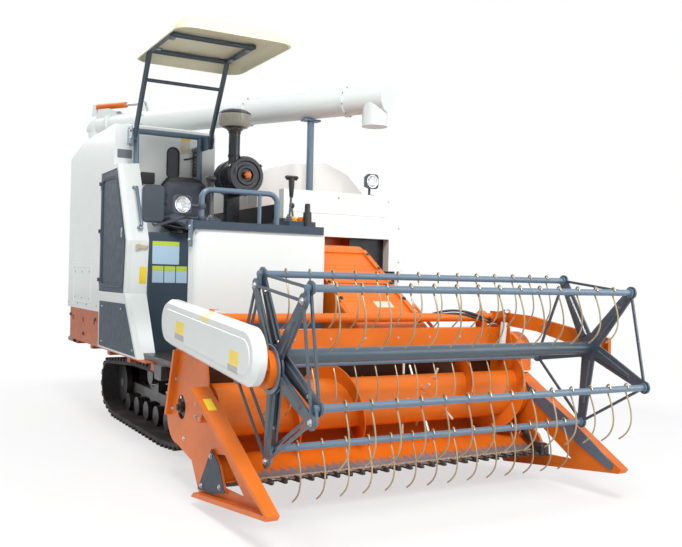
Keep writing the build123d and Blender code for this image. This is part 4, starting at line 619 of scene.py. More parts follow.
@dataclass(frozen=True)
class Finish:
    """One finish: its colour, gloss, wear and dust."""

    name: str
    colour: Colour
    base: Base = Base.ENAMEL
    roughness: float = 0.34
    metallic: float = 0.0
    coat: float = 0.25
    wear: float = 0.35
    worn: Colour = (0.22, 0.21, 0.2)
    dust: float = 0.35
    dust_top: float = 0.75
    bump: float = 0.04
    grain: float = 240.0
    shade: float = 0.06
    specular: float = 0.5
    # blocks of another colour: stripes, labels and dark panels, and on the header pan painted shade
    patches: tuple[tuple[Triple, Triple, float, Colour], ...] = ()

    def build(self, effects: Effects) -> bpy.types.Material:
        """Builds the material.

        Args:
            effects: the shared node groups.

        Returns:
            A node material on Object coordinates.
        """
        material = bpy.data.materials.new(self.name)
        material.use_nodes = True
        tree = material.node_tree
        tree.nodes.clear()
        w = Wiring(tree)
        out = w.add("ShaderNodeOutputMaterial")
        shader = w.add("ShaderNodeBsdfPrincipled")
        w.join(shader.outputs[0], out.inputs[0])
        w.fill(shader, {"Metallic": self.metallic, "Coat Weight": self.coat,
                        "Coat Roughness": COAT_ROUGHNESS, "Specular IOR Level": self.specular})
        place = w.add("ShaderNodeTexCoord").outputs["Object"]
        cloud = w.noise(place, 2.2, 4.0)
        dark = (*(c * (1 - self.shade) for c in self.colour), 1.0)
        light = (*(min(1.0, c * (1 + self.shade)) for c in self.colour), 1.0)
        colour = w.mix(w.ramp(cloud, 0.3, 0.7), dark, light)
        if self.base is Base.RUBBER:
            scuffs = w.ramp(w.noise(place, 60.0, 5.0), 0.45, 0.75)
            colour = w.mix(scuffs, colour, (*(c * RUBBER_SCUFF for c in self.colour), 1.0))
        for centre, half, turn, paint in self.patches:
            block = w.add("ShaderNodeGroup", node_tree=effects.block)
            w.fill(block, {"Centre": centre, "Half": half, "Turn": math.radians(turn)})
            colour = w.mix(block.outputs[0], colour, (*paint, 1.0))
        wear = w.add("ShaderNodeGroup", node_tree=effects.wear)
        wear.inputs["Amount"].default_value = self.wear
        colour = w.mix(wear.outputs[0], colour, (*self.worn, 1.0))
        dust = w.add("ShaderNodeGroup", node_tree=effects.dust)
        w.fill(dust, {"Amount": self.dust, "Top": self.dust_top})
        colour = w.mix(dust.outputs[0], colour, DUST_COLOUR)
        w.join(colour, shader.inputs["Base Color"])
        gloss = w.add("ShaderNodeMapRange", in_0=w.noise(place, 18.0, 3.0), in_1=0.3, in_2=0.7,
                      in_3=self.roughness + GLOSS_SPREAD[0], in_4=self.roughness + GLOSS_SPREAD[1])
        rough = w.math("ADD", gloss.outputs[0], w.math("MULTIPLY", dust.outputs[0], DUST_ROUGHNESS))
        w.join(w.math("MINIMUM", rough, ROUGHEST), shader.inputs["Roughness"])
        peel = w.add("ShaderNodeGroup", node_tree=effects.peel)
        peel.inputs["Scale"].default_value = self.grain
        bump = w.add("ShaderNodeBump")
        w.fill(bump, {"Strength": self.bump, "Distance": 0.001})
        w.join(peel.outputs[0], bump.inputs["Height"])
        w.join(bump.outputs[0], shader.inputs["Normal"])
        material.diffuse_color = (*self.colour, 1.0)
        return material


@dataclass(frozen=True)
class Glass:
    """Clear glazing or a lens."""

    name: str
    colour: Colour
    roughness: float = 0.03

    def build(self, effects: Effects) -> bpy.types.Material:
        """Builds the material with a faint ripple in its surface.

        Args:
            effects: not needed here; taken so that every finish is built alike.

        Returns:
            A node material.
        """
        material = bpy.data.materials.new(self.name)
        material.use_nodes = True
        tree = material.node_tree
        shader = tree.nodes["Principled BSDF"]
        w = Wiring(tree)
        w.fill(shader, {"Base Color": (*self.colour, 1.0), "Roughness": self.roughness,
                        "Transmission Weight": 0.9})
        place = w.add("ShaderNodeTexCoord").outputs["Object"]
        bump = w.add("ShaderNodeBump")
        w.fill(bump, {"Strength": 0.05, "Distance": 0.002})
        w.join(w.noise(place, 9.0, 1.0), bump.inputs["Height"])
        w.join(bump.outputs[0], shader.inputs["Normal"])
        return material


ORANGE = (0.700, 0.150, 0.008)
STRIPE_TURN, STRIPE_YELLOW, STRIPE_GREY = -5.0, (0.90, 0.68, 0.05), (0.42, 0.42, 0.42)
PLAIN = {"coat": 0.0, "wear": 0.0, "dust": 0.08, "shade": 0.03}
FINISHES: dict[str, Finish | Glass] = {made.name: made for made in (
    Finish("body_white", (0.70, 0.745, 0.735), roughness=0.36, wear=0.06, worn=(0.5, 0.5, 0.48),
           dust=0.10, shade=0.015),
    Finish("panel_slate", (0.050, 0.072, 0.098), roughness=0.5, coat=0.0, specular=0.2, dust=0.02,
           worn=(0.2, 0.21, 0.22), wear=0.1, shade=0.03),
    Finish("frame_orange", ORANGE, roughness=0.36, coat=0.03, specular=0.3, wear=0.3,
           worn=(0.33, 0.2, 0.12), dust=0.08, shade=0.10),
    Finish("reel_steel", (0.100, 0.160, 0.225), roughness=0.34, wear=0.4, dust=0.10, shade=0.08),
    Finish("star_dark", (0.046, 0.072, 0.096), roughness=0.36, wear=0.40, dust=0.08, shade=0.10),
    Finish("canopy_cream", (0.72, 0.69, 0.50), Base.PLASTIC, roughness=0.36, coat=0.05, wear=0.0,
           dust=0.04, shade=0.02),
    Finish("black_paint", (0.016, 0.016, 0.018), roughness=0.4, wear=0.3, dust=0.22),
    Finish("track_rubber", (0.020, 0.020, 0.021), Base.RUBBER, roughness=0.72, coat=0.0, wear=0.25,
           worn=(0.07, 0.068, 0.065), dust=0.3, dust_top=0.3, bump=0.4, grain=90.0, shade=0.2),
    Finish("black_plastic", (0.018, 0.018, 0.020), Base.PLASTIC, roughness=0.42, coat=0.0, wear=0.1,
           worn=(0.08, 0.08, 0.08), dust=0.1, bump=0.25, grain=500.0),
    Finish("seat_vinyl", (0.052, 0.066, 0.092), Base.PLASTIC, roughness=0.5, coat=0.0, wear=0.0,
           dust=0.08, bump=0.5, grain=420.0, shade=0.1),
    Finish("bare_steel", (0.52, 0.53, 0.54), Base.METAL, roughness=0.34, metallic=1.0, coat=0.0,
           wear=0.2, worn=(0.3, 0.22, 0.16), dust=0.2, grain=150.0),
    Finish("engine_grey", (0.05, 0.055, 0.06), roughness=0.6, coat=0.0, bump=0.3, grain=120.0),
    Finish("lamp_chrome", (0.8, 0.81, 0.82), Base.METAL, roughness=0.12, metallic=1.0, coat=0.0,
           wear=0.0, dust=0.02),
    Glass("window_glass", (0.10, 0.13, 0.16)),
    Glass("lens_glass", (0.92, 0.94, 0.95), 0.08),
    Glass("bowl_clear", (0.78, 0.76, 0.68), 0.16),
    *(Finish(name, colour, Base.PLASTIC, roughness=gloss, **PLAIN)
      for name, colour, gloss in (("bowl_ivory", (0.50, 0.47, 0.39), 0.35),
                                  ("white_nylon", (0.78, 0.77, 0.72), 0.45),
                                  ("lamp_housing", (0.045, 0.058, 0.075), 0.4),
                                  ("knob_amber", (0.85, 0.42, 0.03), 0.3),
                                  ("knob_orange", (0.78, 0.16, 0.01), 0.3),
                                  ("label_blue", (0.42, 0.58, 0.72), 0.4),
                                  ("label_lime", (0.50, 0.62, 0.06), 0.4),
                                  ("label_yellow", (0.85, 0.62, 0.02), 0.4),
                                  ("label_amber", (0.78, 0.50, 0.10), 0.4),
                                  ("label_pale", (0.66, 0.62, 0.48), 0.4),
                                  ("plate_grey", (0.14, 0.15, 0.17), 0.4))),
    Finish("tine_wire", (0.42, 0.33, 0.20), Base.METAL, roughness=0.34, metallic=0.35, coat=0.2,
           wear=0.5, worn=(0.10, 0.07, 0.045), dust=0.1, shade=0.25),
    Finish("finger_steel", (0.72, 0.70, 0.66), Base.METAL, roughness=0.3, metallic=0.5, coat=0.0,
           wear=0.2, dust=0.1),
    Finish("buff_strip", (0.56, 0.45, 0.30), Base.METAL, roughness=0.42, metallic=0.2, coat=0.0,
           wear=0.4, worn=(0.2, 0.15, 0.1), dust=0.15, shade=0.15),
    Finish("galvanised", (0.30, 0.36, 0.42), Base.METAL, roughness=0.4, metallic=0.5, coat=0.0,
           wear=0.1, dust=0.15, shade=0.15),
    Finish("zinc", (0.42, 0.43, 0.43), Base.METAL, roughness=0.4, metallic=0.9, coat=0.0, wear=0.1,
           dust=0.1),
    Finish("gear_dark", (0.04, 0.038, 0.036), Base.METAL, roughness=0.45, metallic=0.6, coat=0.0,
           wear=0.6, worn=(0.25, 0.24, 0.23)),
    Finish("stay_blue", (0.105, 0.150, 0.205), roughness=0.32, wear=0.3, dust=0.08, shade=0.08),
    Finish("lever_rod", (0.07, 0.085, 0.10), roughness=0.35, wear=0.2, dust=0.05),
    Finish("silvered", (0.86, 0.88, 0.88), Base.METAL, roughness=0.04, metallic=1.0, coat=0.0,
           wear=0.0, dust=0.02, bump=0.0),
    Finish("gasket", (0.02, 0.02, 0.022), Base.RUBBER, roughness=0.6, coat=0.0, wear=0.0,
           dust=0.05),
)}
FINISHES |= {made.name: made for made in (
    replace(FINISHES["body_white"], name="chain_white",
            patches=(((1.185, -1.150, 0.935), (0.070, 0.004, 0.034), STRIPE_TURN, STRIPE_YELLOW),
                     ((1.180, -1.150, 0.885), (0.076, 0.004, 0.016), STRIPE_TURN, STRIPE_GREY),
                     ((1.965, -1.150, 0.846), (0.055, 0.004, 0.034), STRIPE_TURN, STRIPE_YELLOW),
                     ((1.950, -1.150, 0.796), (0.062, 0.004, 0.016), STRIPE_TURN, STRIPE_GREY),
                     ((1.560, -1.120, 1.030), (0.055, 0.030, 0.040), STRIPE_TURN,
                      (0.88, 0.74, 0.30)))),
    # Frame orange with a dark brown block on the header's back wall under the top beam: painted
    # shade of the recess over the auger.
    replace(FINISHES["frame_orange"], name="pan_orange",
            patches=(((1.145, 0.0, 0.690), (0.012, 1.05, 0.115), 0.0, (0.045, 0.014, 0.006)),)),
    replace(FINISHES["frame_orange"], name="thresher_orange",
            patches=(((0.060, 0.30, 1.40), (0.012, 0.9, 0.30), 0.0, (0.012, 0.012, 0.014)),
                     ((-0.80, -0.030, 1.50), (1.2, 0.012, 0.27), 0.0, (0.014, 0.015, 0.018)))),
    # Frame orange darkened to about six tenths for the chassis sill: painted shade, as the sill's
    # own paint is the frame's orange.
    replace(FINISHES["frame_orange"], name="sill_orange", colour=(0.42, 0.086, 0.014)),
    replace(FINISHES["black_plastic"], name="cleaner_black", colour=(0.014, 0.017, 0.024),
            roughness=0.28, dust=0.0, patches=(((-0.240, -0.285, 2.372), (0.2, 0.2, 0.044), 0.0,
                                                (0.74, 0.73, 0.68)),
                                               ((-0.240, -0.285, 2.44), (0.2, 0.2, 0.022), 0.0,
                                                (0.05, 0.055, 0.065)))),
)}
NODE_FINISHES = {
    # The header pan's and the chassis sill's finishes carry painted shade.
    "chain_cover": "chain_white", "header_pan": "pan_orange", "thresher_body": "thresher_orange",
    "air_cleaner": "cleaner_black", "chassis_frame": "sill_orange", "drive_sprockets": "gear_dark",
    "mirror_unit": "lamp_housing",
    **dict.fromkeys(("reel", "eccentric_star", "canopy_posts"), "star_dark"),
    **dict.fromkeys(("track_frames", "track_rollers", "drive_case", "rear_guard"), "black_paint"),
}


class Paintshop:
    """Holds one material for each finish and hands them out by name."""

    def __init__(self) -> None:
        """Builds the shared effects."""
        self.effects = Effects()
        self.made: dict[str, bpy.types.Material] = {}

    def get(self, name: str) -> bpy.types.Material:
        """Returns the material of a finish, built on first use.

        Args:
            name: the finish's name.

        Returns:
            Its material.
        """
        if name not in self.made:
            self.made[name] = FINISHES[name].build(self.effects)
        return self.made[name]


# ------------------------------------------------------------------ studio
@dataclass
class Studio:
    """Floor, soft light and camera: `world` is the sky's strength for light and as seen."""

    eye: Triple = (5.525, -2.597, 1.221)
    yaw: float = 29.37
    pitch: float = 0.36
    roll: float = 1.24
    lens: float = 43.8
    sensor: float = 36.0
    span: float = 60.0
    fade: tuple[float, float] = (2.4, 5.0)
    floor_colour: Colour = (0.84, 0.84, 0.84)
    floor_lift: float = 0.62
    world: tuple[float, float] = (0.42, 1.0)
    aim: Triple = (0.3, 0.0, 1.0)
    lamps: tuple[tuple[str, Triple, float, float], ...] = (
        ("key", (6.5, -2.5, 8.0), 3.0, 800.0), ("fill", (6.5, 5.0, 3.5), 5.0, 220.0),
        ("back", (-7.0, -3.0, 6.0), 6.0, 260.0))

    def camera(self) -> None:
        """Aims the camera along (-cos yaw cos pitch, sin yaw cos pitch, sin pitch), then rolls it.
        """
        data = bpy.data.cameras.new("camera")
        data.lens, data.sensor_width = self.lens, self.sensor
        data.clip_start, data.clip_end = 0.05, 200.0
        obj = linked("camera", data)
        yaw, pitch = math.radians(self.yaw), math.radians(self.pitch)
        look = Vector(
            (-math.cos(yaw) * math.cos(pitch), math.sin(yaw) * math.cos(pitch), math.sin(pitch)))
        roll = Matrix.Rotation(math.radians(self.roll), 3, "Z")
        turn = look.to_track_quat("-Z", "Y").to_matrix() @ roll
        obj.matrix_world = Matrix.Translation(self.eye) @ turn.to_4x4()
        bpy.context.scene.camera = obj

    def floor(self) -> None:
        """Pale floor that fades into the white ground behind it."""
        corners = np.array(
            [[(x, y, 0.0) for y in (-self.span, self.span)] for x in (-self.span, self.span)])
        sheet = sheet_of(corners)
        obj = new_object("studio_floor", Shape(sheet.points, sheet.quads[:, ::-1]))
        material = bpy.data.materials.new("studio_floor")
        material.use_nodes = True
        tree = material.node_tree
        shader = tree.nodes["Principled BSDF"]
        w = Wiring(tree)
        w.fill(shader, {"Base Color": (*self.floor_colour, 1.0), "Roughness": 0.7,
                        "Specular IOR Level": 0.2})
        place = w.add("ShaderNodeTexCoord").outputs["Object"]
        away = w.add("ShaderNodeVectorMath", operation="LENGTH", in_0=place).outputs["Value"]
        far = w.ramp(away, *self.fade)
        ray = w.add("ShaderNodeLightPath").outputs["Is Camera Ray"]
        seen = w.math("MULTIPLY", w.math("MAXIMUM", far, self.floor_lift), ray)
        glow = w.add("ShaderNodeEmission")
        both = w.add("ShaderNodeMixShader", in_0=seen, in_1=shader.outputs[0], in_2=glow.outputs[0])
        w.join(both.outputs[0], tree.nodes["Material Output"].inputs["Surface"])
        obj.data.materials.append(material)

    def lights(self) -> None:
        """White world and three large soft lamps."""
        world = bpy.data.worlds.new("studio")
        bpy.context.scene.world = world
        world.use_nodes = True
        w = Wiring(world.node_tree)
        ground = world.node_tree.nodes["Background"]
        ground.inputs["Color"].default_value = (1.0, 1.0, 1.0, 1.0)
        ray = w.add("ShaderNodeLightPath")
        seen = w.math("MAXIMUM", ray.outputs["Is Camera Ray"], ray.outputs["Is Glossy Ray"])
        seen = w.math("MAXIMUM", seen, ray.outputs["Is Transmission Ray"])
        strength = w.add("ShaderNodeMapRange", in_0=seen, in_3=self.world[0], in_4=self.world[1])
        w.join(strength.outputs[0], ground.inputs["Strength"])
        for name, place, size, power in self.lamps:
            lamp = bpy.data.lights.new(name, "AREA")
            lamp.size, lamp.energy = size, power
            obj = linked(name, lamp)
            aim = Vector(self.aim) - Vector(place)
            obj.matrix_world = Matrix.Translation(place) @ aim.to_track_quat(
                "-Z", "Y").to_matrix().to_4x4()

    def build(self) -> None:
        """Sets the whole studio up."""
        bpy.context.scene.view_settings.view_transform = "Standard"
        self.camera()
        self.floor()
        self.lights()
        LOG.info("studio ready")


def linked(name: str, data: bpy.types.ID) -> bpy.types.Object:
    """Returns a new object with the data, linked to the scene.

    Args:
        name: the object's name.
        data: its mesh, lamp or camera.

    Returns:
        The new object.
    """
    obj = bpy.data.objects.new(name, data)
    bpy.context.scene.collection.objects.link(obj)
    return obj


def new_object(name: str, shape: Shape, smooth: float | None = 35.0) -> bpy.types.Object:
    """Makes a mesh object at the origin from a shape.

    Args:
        name: the object's name.
        shape: its points and faces.
        smooth: edges sharper than this many degrees stay sharp; None leaves it faceted.

    Returns:
        The new object, linked to the scene.
    """
    mesh = bpy.data.meshes.new(name)
    mesh.from_pydata(shape.points.tolist(), [], shape.quads.tolist() + shape.others)
    mesh.validate()
    if smooth is not None:
        mesh.polygons.foreach_set("use_smooth", np.ones(len(mesh.polygons), bool))
        mesh.set_sharp_from_angle(angle=math.radians(smooth))
    mesh.update()
    return linked(name, mesh)


class Dresser:
    """Gives nodes their material, and new pieces their body and material."""

    def __init__(self, frame: dict, paints: Paintshop) -> None:
        """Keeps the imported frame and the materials.

        Args:
            paints: the materials.
        """
        self.nodes = frame["nodes"]
        self.paints = paints
        self.slots = {row["node"]: row["material_slot"] for row in frame["record"]["subparts"]}

    def all_nodes(self) -> None:
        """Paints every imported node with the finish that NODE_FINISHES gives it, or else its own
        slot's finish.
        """
        for name, obj in self.nodes.items():
            finish = NODE_FINISHES.get(name, self.slots[name])
            obj.data.materials.clear()
            obj.data.materials.append(self.paints.get(finish))

    def piece(self, name: str, shape: Shape | list[Shape], slot: str, finish: str | None = None,
              body: str = "chassis", smooth: float = 35.0) -> bpy.types.Object:
        """Adds a new piece.

        Args:
            name: the piece's name.
            shape: its mesh, or several that make one piece.
            slot: the record's material slot.
            finish: the finish's name, where it isn't the slot's own.
            body: the body that it rides on.
            smooth: as new_object takes it.

        Returns:
            The new object.
        """
        obj = new_object(name, shape if isinstance(shape, Shape) else merged(shape), smooth)
        obj.data.materials.append(self.paints.get(finish or slot))
        self.enrol(obj, slot, body)
        return obj

    @staticmethod
    def enrol(obj: bpy.types.Object, slot: str, body: str = "chassis") -> None:
        """Gives a finished object its body, and reports it.

        Args:
            obj: the object.
            slot: the record's material slot; not used.
            body: the body that it rides on.
        """
        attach(obj, body)
        LOG.info("%s: %d faces", obj.name, len(obj.data.polygons))


@dataclass
class Assembly:
    """A sub-assembly: its sizes are fields, and its pieces go through the dresser."""

    dresser: Dresser

    @property
    def piece(self) -> Callable[..., bpy.types.Object]:
        """Returns the dresser's way to add a piece."""
        return self.dresser.piece


# ------------------------------------------------------------------- header
@dataclass
class Reel(Assembly):
    """Tine bars, wires and fasteners of the tined reel."""

    x: float = 2.090
    z: float = 0.859
    radius: float = 0.433
    phase: float = 119.4
    bars: int = 5
    star_y: float = 0.975
    bar_r: float = 0.017
    drop: float = 0.055
    tines: int = 14
    pitch: float = 0.13
    length: float = 0.27
    wire: float = 0.0042
    hump: float = 0.007
    hub_bolts: float = 0.066
    arm_bolts: float = 0.78
    chamfer: float = 0.003

    def centre(self, index: int) -> tuple[float, float]:
        """Returns X and Z of a bar: the phase less a fifth of a turn for each bar."""
        a = math.radians(self.phase - index * 360 / self.bars)
        return self.x + self.radius * math.cos(a), self.z + self.radius * math.sin(a)

    def bar(self, index: int) -> Shape:
        """One bar with its crank plate and crank pin.

        Args:
            index: which bar.

        Returns:
            The bar's shape.
        """
        x, z = self.centre(index)
        y0, y1 = -1.001, self.star_y + 0.005
        r, rim = self.bar_r, self.chamfer
        ends = np.array([y0, y0 + rim, y0 + 0.02, y1 - 0.02, y1 - rim, y1])
        rod = tube(columns(x, ends, z), np.array([r - rim, r, r, r, r, r - rim]), 24)
        crank = pressed((x, -0.999, z - self.drop / 2), Z, X, self.drop + 0.034, 0.03, 0.014,
                        [(0, 0.002), (0.002, 0), (0.013, 0), (0.015, 0.002)])
        pin = tube([[x, -1.016, z - self.drop], [x, -0.984, z - self.drop]], 0.009, 16)
        collar = turned([(0.026, 0), (0.026, 0.008), (0.024, 0.01)], (x, 0, z), Y, 20)
        collars = collar.repeated(np.array([[0, -0.968, 0], [0, 0.958, 0]]))
        return merged([rod, crank, pin, collars])

    def wires(self, index: int) -> Shape:
        """The bar's wires: each passes over the bar with a hump and down behind it, then bows
        forward.

        Args:
            index: which bar.

        Returns:
            All the bar's wires.
        """
        x, z = self.centre(index)
        a = np.radians(np.linspace(20, 180, 14))
        r = self.bar_r + self.wire + self.hump * np.exp(-(((a - np.pi / 2) / 0.45) ** 2))
        coil = columns(r * np.cos(a), np.linspace(-0.012, 0, 14), r * np.sin(a))
        t = np.linspace(0.05, 1, 15)
        down = [0, 0.12, 0.25, 0.38, 0.5, 0.62, 0.76, 0.89, 1]
        forward = [0, 0.05, 0.09, 0.12, 0.13, 0.12, 0.07, -0.03, -0.18]
        bow = np.polyval(np.polyfit(down, forward, 4), t)
        hang = columns(
            self.length * bow - (self.bar_r + self.wire) * (1 - t) ** 2, 0 * t, -self.length * t)
        one = tube(np.concatenate([coil, hang]) + [x, 0, z], self.wire, 7)
        places = (np.arange(self.tines) - (self.tines - 1) / 2) * self.pitch
        return one.repeated(columns(0, places, 0))

    def build(self) -> None:
        """Puts the bars and wires in place of the plain ones and bolts the stars."""
        for index in range(self.bars):
            name = f"tine_bar_{index + 1}"
            obj = self.piece(f"{name}_tube", self.bar(index), "reel_steel", body=name)
            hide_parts(name)
            self.piece(f"{name}_wires", self.wires(index), "reel_steel", "tine_wire", name)
        tips = np.array([self.centre(i) for i in range(self.bars)])
        mid = np.array([self.x, self.z])
        for side, label in ((-1, "right"), (1, "left")):
            face = side * (self.star_y + 0.005)
            a = np.arange(self.bars) * 1.2566 + 0.4
            hub = mid + self.hub_bolts * columns(np.cos(a), np.sin(a))
            flat = np.concatenate([hub, mid + (tips - mid) * self.arm_bolts])
            places = columns(flat[:, 0], face, flat[:, 1])
            self.piece(f"star_bolts_{label}", bolts(places, side * Y, 0.018, 0.009),
                          "bare_steel", body="reel")
        self.eccentric()

    def eccentric(self) -> None:
        """Nuts on the eccentric star's crank pins and its bearing race."""
        tips = np.array([self.centre(i) for i in range(self.bars)]) - [0, self.drop]
        places = columns(tips[:, 0], -1.014, tips[:, 1])
        self.piece(
            "eccentric_nuts", bolts(places, -Y, 0.022, 0.012), "bare_steel", body="eccentric_star")
        profile = [
            (0.094, 0), (0.112, 0), (0.114, 0.002), (0.114, 0.006), (0.112, 0.008), (0.094, 0.008)]
        sides = 40
        race = turned(profile, (self.x, -1.021, self.z - self.drop), -Y, sides)
        c = np.arange(sides)
        far, after = (len(profile) - 1) * sides, (c + 1) % sides
        bore = columns(c, after, far + after, far + c)
        ring = outward(Shape(race.points, np.concatenate([race.quads, bore[:, ::-1]])))
        self.piece("eccentric_race", ring, "reel_steel", body="eccentric_star")


@dataclass
class Cutter(Assembly):
    """Fingers, strip and toothed edge round the knife."""

    half: float = 0.985
    pitch: float = 0.0762
    tooth: float = 0.0508
    reach: float = 0.935
    saw_rows: Triple = (1.646, 1.611, 1.604)
    saw_point: float = 1.548
    floor: float = 0.1995
    slope: float = 0.306
    sheet: float = 0.0025

    def finger(self) -> Shape:
        """One guard finger: a tapering body under the knife, a nose in front of it and a lip back
        over it.

        Returns:
            The finger, at the middle of the knife.
        """
        x = np.array([1.652, 1.668, 1.700, 1.726, 1.744, 1.756, 1.7595])
        wide = np.array([0.010, 0.0150, 0.0165, 0.0150, 0.0115, 0.005, 0.0008])
        low = np.array([0.178, 0.1765, 0.1765, 0.1765, 0.179, 0.183, 0.187])
        top = np.array([0.1885, 0.1888, 0.1888, 0.2045, 0.203, 0.196, 0.189])
        a = around(10)
        body = columns(x[:, None], wide[:, None] * np.cos(a)[None],
                         ((low + top) / 2)[:, None] + ((top - low) / 2)[:, None] * np.sin(a)[None])
        x = np.array([1.688, 1.692, 1.710, 1.732])
        wide = np.array([0.003, 0.0075, 0.0105, 0.0125])
        lip = columns(x[:, None], wide[:, None] * np.cos(a[:8] * 1.25)[None],
                        0.2015 + 0.003 * np.sin(a[:8] * 1.25)[None] + 0 * x[:, None])
        return merged([skin(body), skin(lip)])

    def saw(self) -> Shape:
        """Toothed sheet on the sloping floor: every second point of its rear edge runs back up the
        slope.

        Returns:
            The sheet as one closed body.
        """
        count = int(2 * self.half / self.tooth) * 2
        y = np.linspace(-self.half, self.half, count + 1)
        front, fold, root = self.saw_rows
        rows = columns(front, fold, np.where(np.arange(count + 1) % 2 == 1, self.saw_point, root))
        height = self.floor + np.clip(1.61 - rows, 0, None) * self.slope
        top = columns(rows, y[:, None], height + self.sheet)
        under = columns(rows, y[:, None], height)[:, ::-1]
        return skin(np.concatenate([top, under], 1))

    def build(self) -> None:
        """Builds the fingers, the strip with its rivets, the toothed sheet and the knife's drive
        head.
        """
        count = int(2 * self.reach / self.pitch)
        places = (np.arange(count + 1) - count / 2) * self.pitch
        offsets = columns(0, places, 0)
        bar = pressed((1.636, 0, 0.1735), X, Y, 0.048, 2.09, 0.004,
                      [(0, 0.002), (0.002, 0), (0.0155, 0), (0.0165, 0.001)], 3)
        guards = self.piece(
            "guard_fingers", [bar, self.finger().repeated(offsets)], "black_paint", body="header")
        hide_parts("cutter_guards")
        strip = pressed((1.662, 0, 0.1975), X, Y, 0.030, 2 * self.half, 0.002,
                        [(0, 0), (0.002, 0), (0.003, 0.001)], 2)
        self.piece("knife_strip", strip, "bare_steel", "buff_strip", body="header")
        rivet = turned([(0.006, 0), (0.0055, 0.002), (0.003, 0.0035)], (1.658, 0, 0.2005), Z, 10)
        pairs = np.repeat(offsets, 2, 0) + np.tile([[0, -0.016, 0], [0, 0.016, 0]], (count + 1, 1))
        self.piece("knife_rivets", rivet.repeated(pairs), "bare_steel", body="header")
        self.piece("floor_teeth", self.saw(), "bare_steel", "galvanised", body="header")
        head = pressed((1.690, 0.985, 0.170), X, Y, 0.12, 0.07, 0.022,
                       [(0, 0.006), (0.008, 0), (0.06, 0.002), (0.075, 0.014), (0.078, 0.024)])
        line = [[1.64, 0.99, 0.225], [1.60, 1.0, 0.235], [1.55, 1.01, 0.26], [1.50, 1.02, 0.30]]
        boot = tube(line, 0.022, 14)
        self.piece("knife_drive_head", [head, boot], "black_paint", body="header")


@dataclass
class Auger(Assembly):
    """Pale sleeves and clips on the auger's finger rods."""

    x: float = 1.375
    z: float = 0.510
    tube_r: float = 0.142
    span: tuple[float, float] = (0.010, 0.530)
    rows: int = 4
    steps: int = 3

    def build(self) -> None:
        """Builds a sleeve and a clip for each of the twelve rods."""
        sleeves, clips = [], []
        for row in range(self.rows):
            for step in range(self.steps):
                a = math.radians(90 * row + 30 * step)
                place = step + 1 + 0.5 * (row % 2)
                y = self.span[0] + (self.span[1] - self.span[0]) * place / 4.5
                out = np.array([math.cos(a), 0, math.sin(a)])
                at = np.array([self.x, y, self.z])
                path = at + np.outer([0.150, 0.200, 0.2140, 0.2155], out)
                sleeves.append(tube(path, np.array([0.0078, 0.0078, 0.0078, 0.005]), 12))
                across = np.cross(out, Y)
                clips.append(pressed(at + self.tube_r * out * 0.985, Y, -across, 0.034, 0.05, 0.008,
                                     [(0, 0), (0.008, 0.001), (0.012, 0.007), (0.020, 0.010)], 3))
        self.piece("auger_fingers", sleeves, "frame_orange", "finger_steel", body="header_auger")
        self.piece("auger_clips", clips, "frame_orange", "white_nylon", body="header_auger")


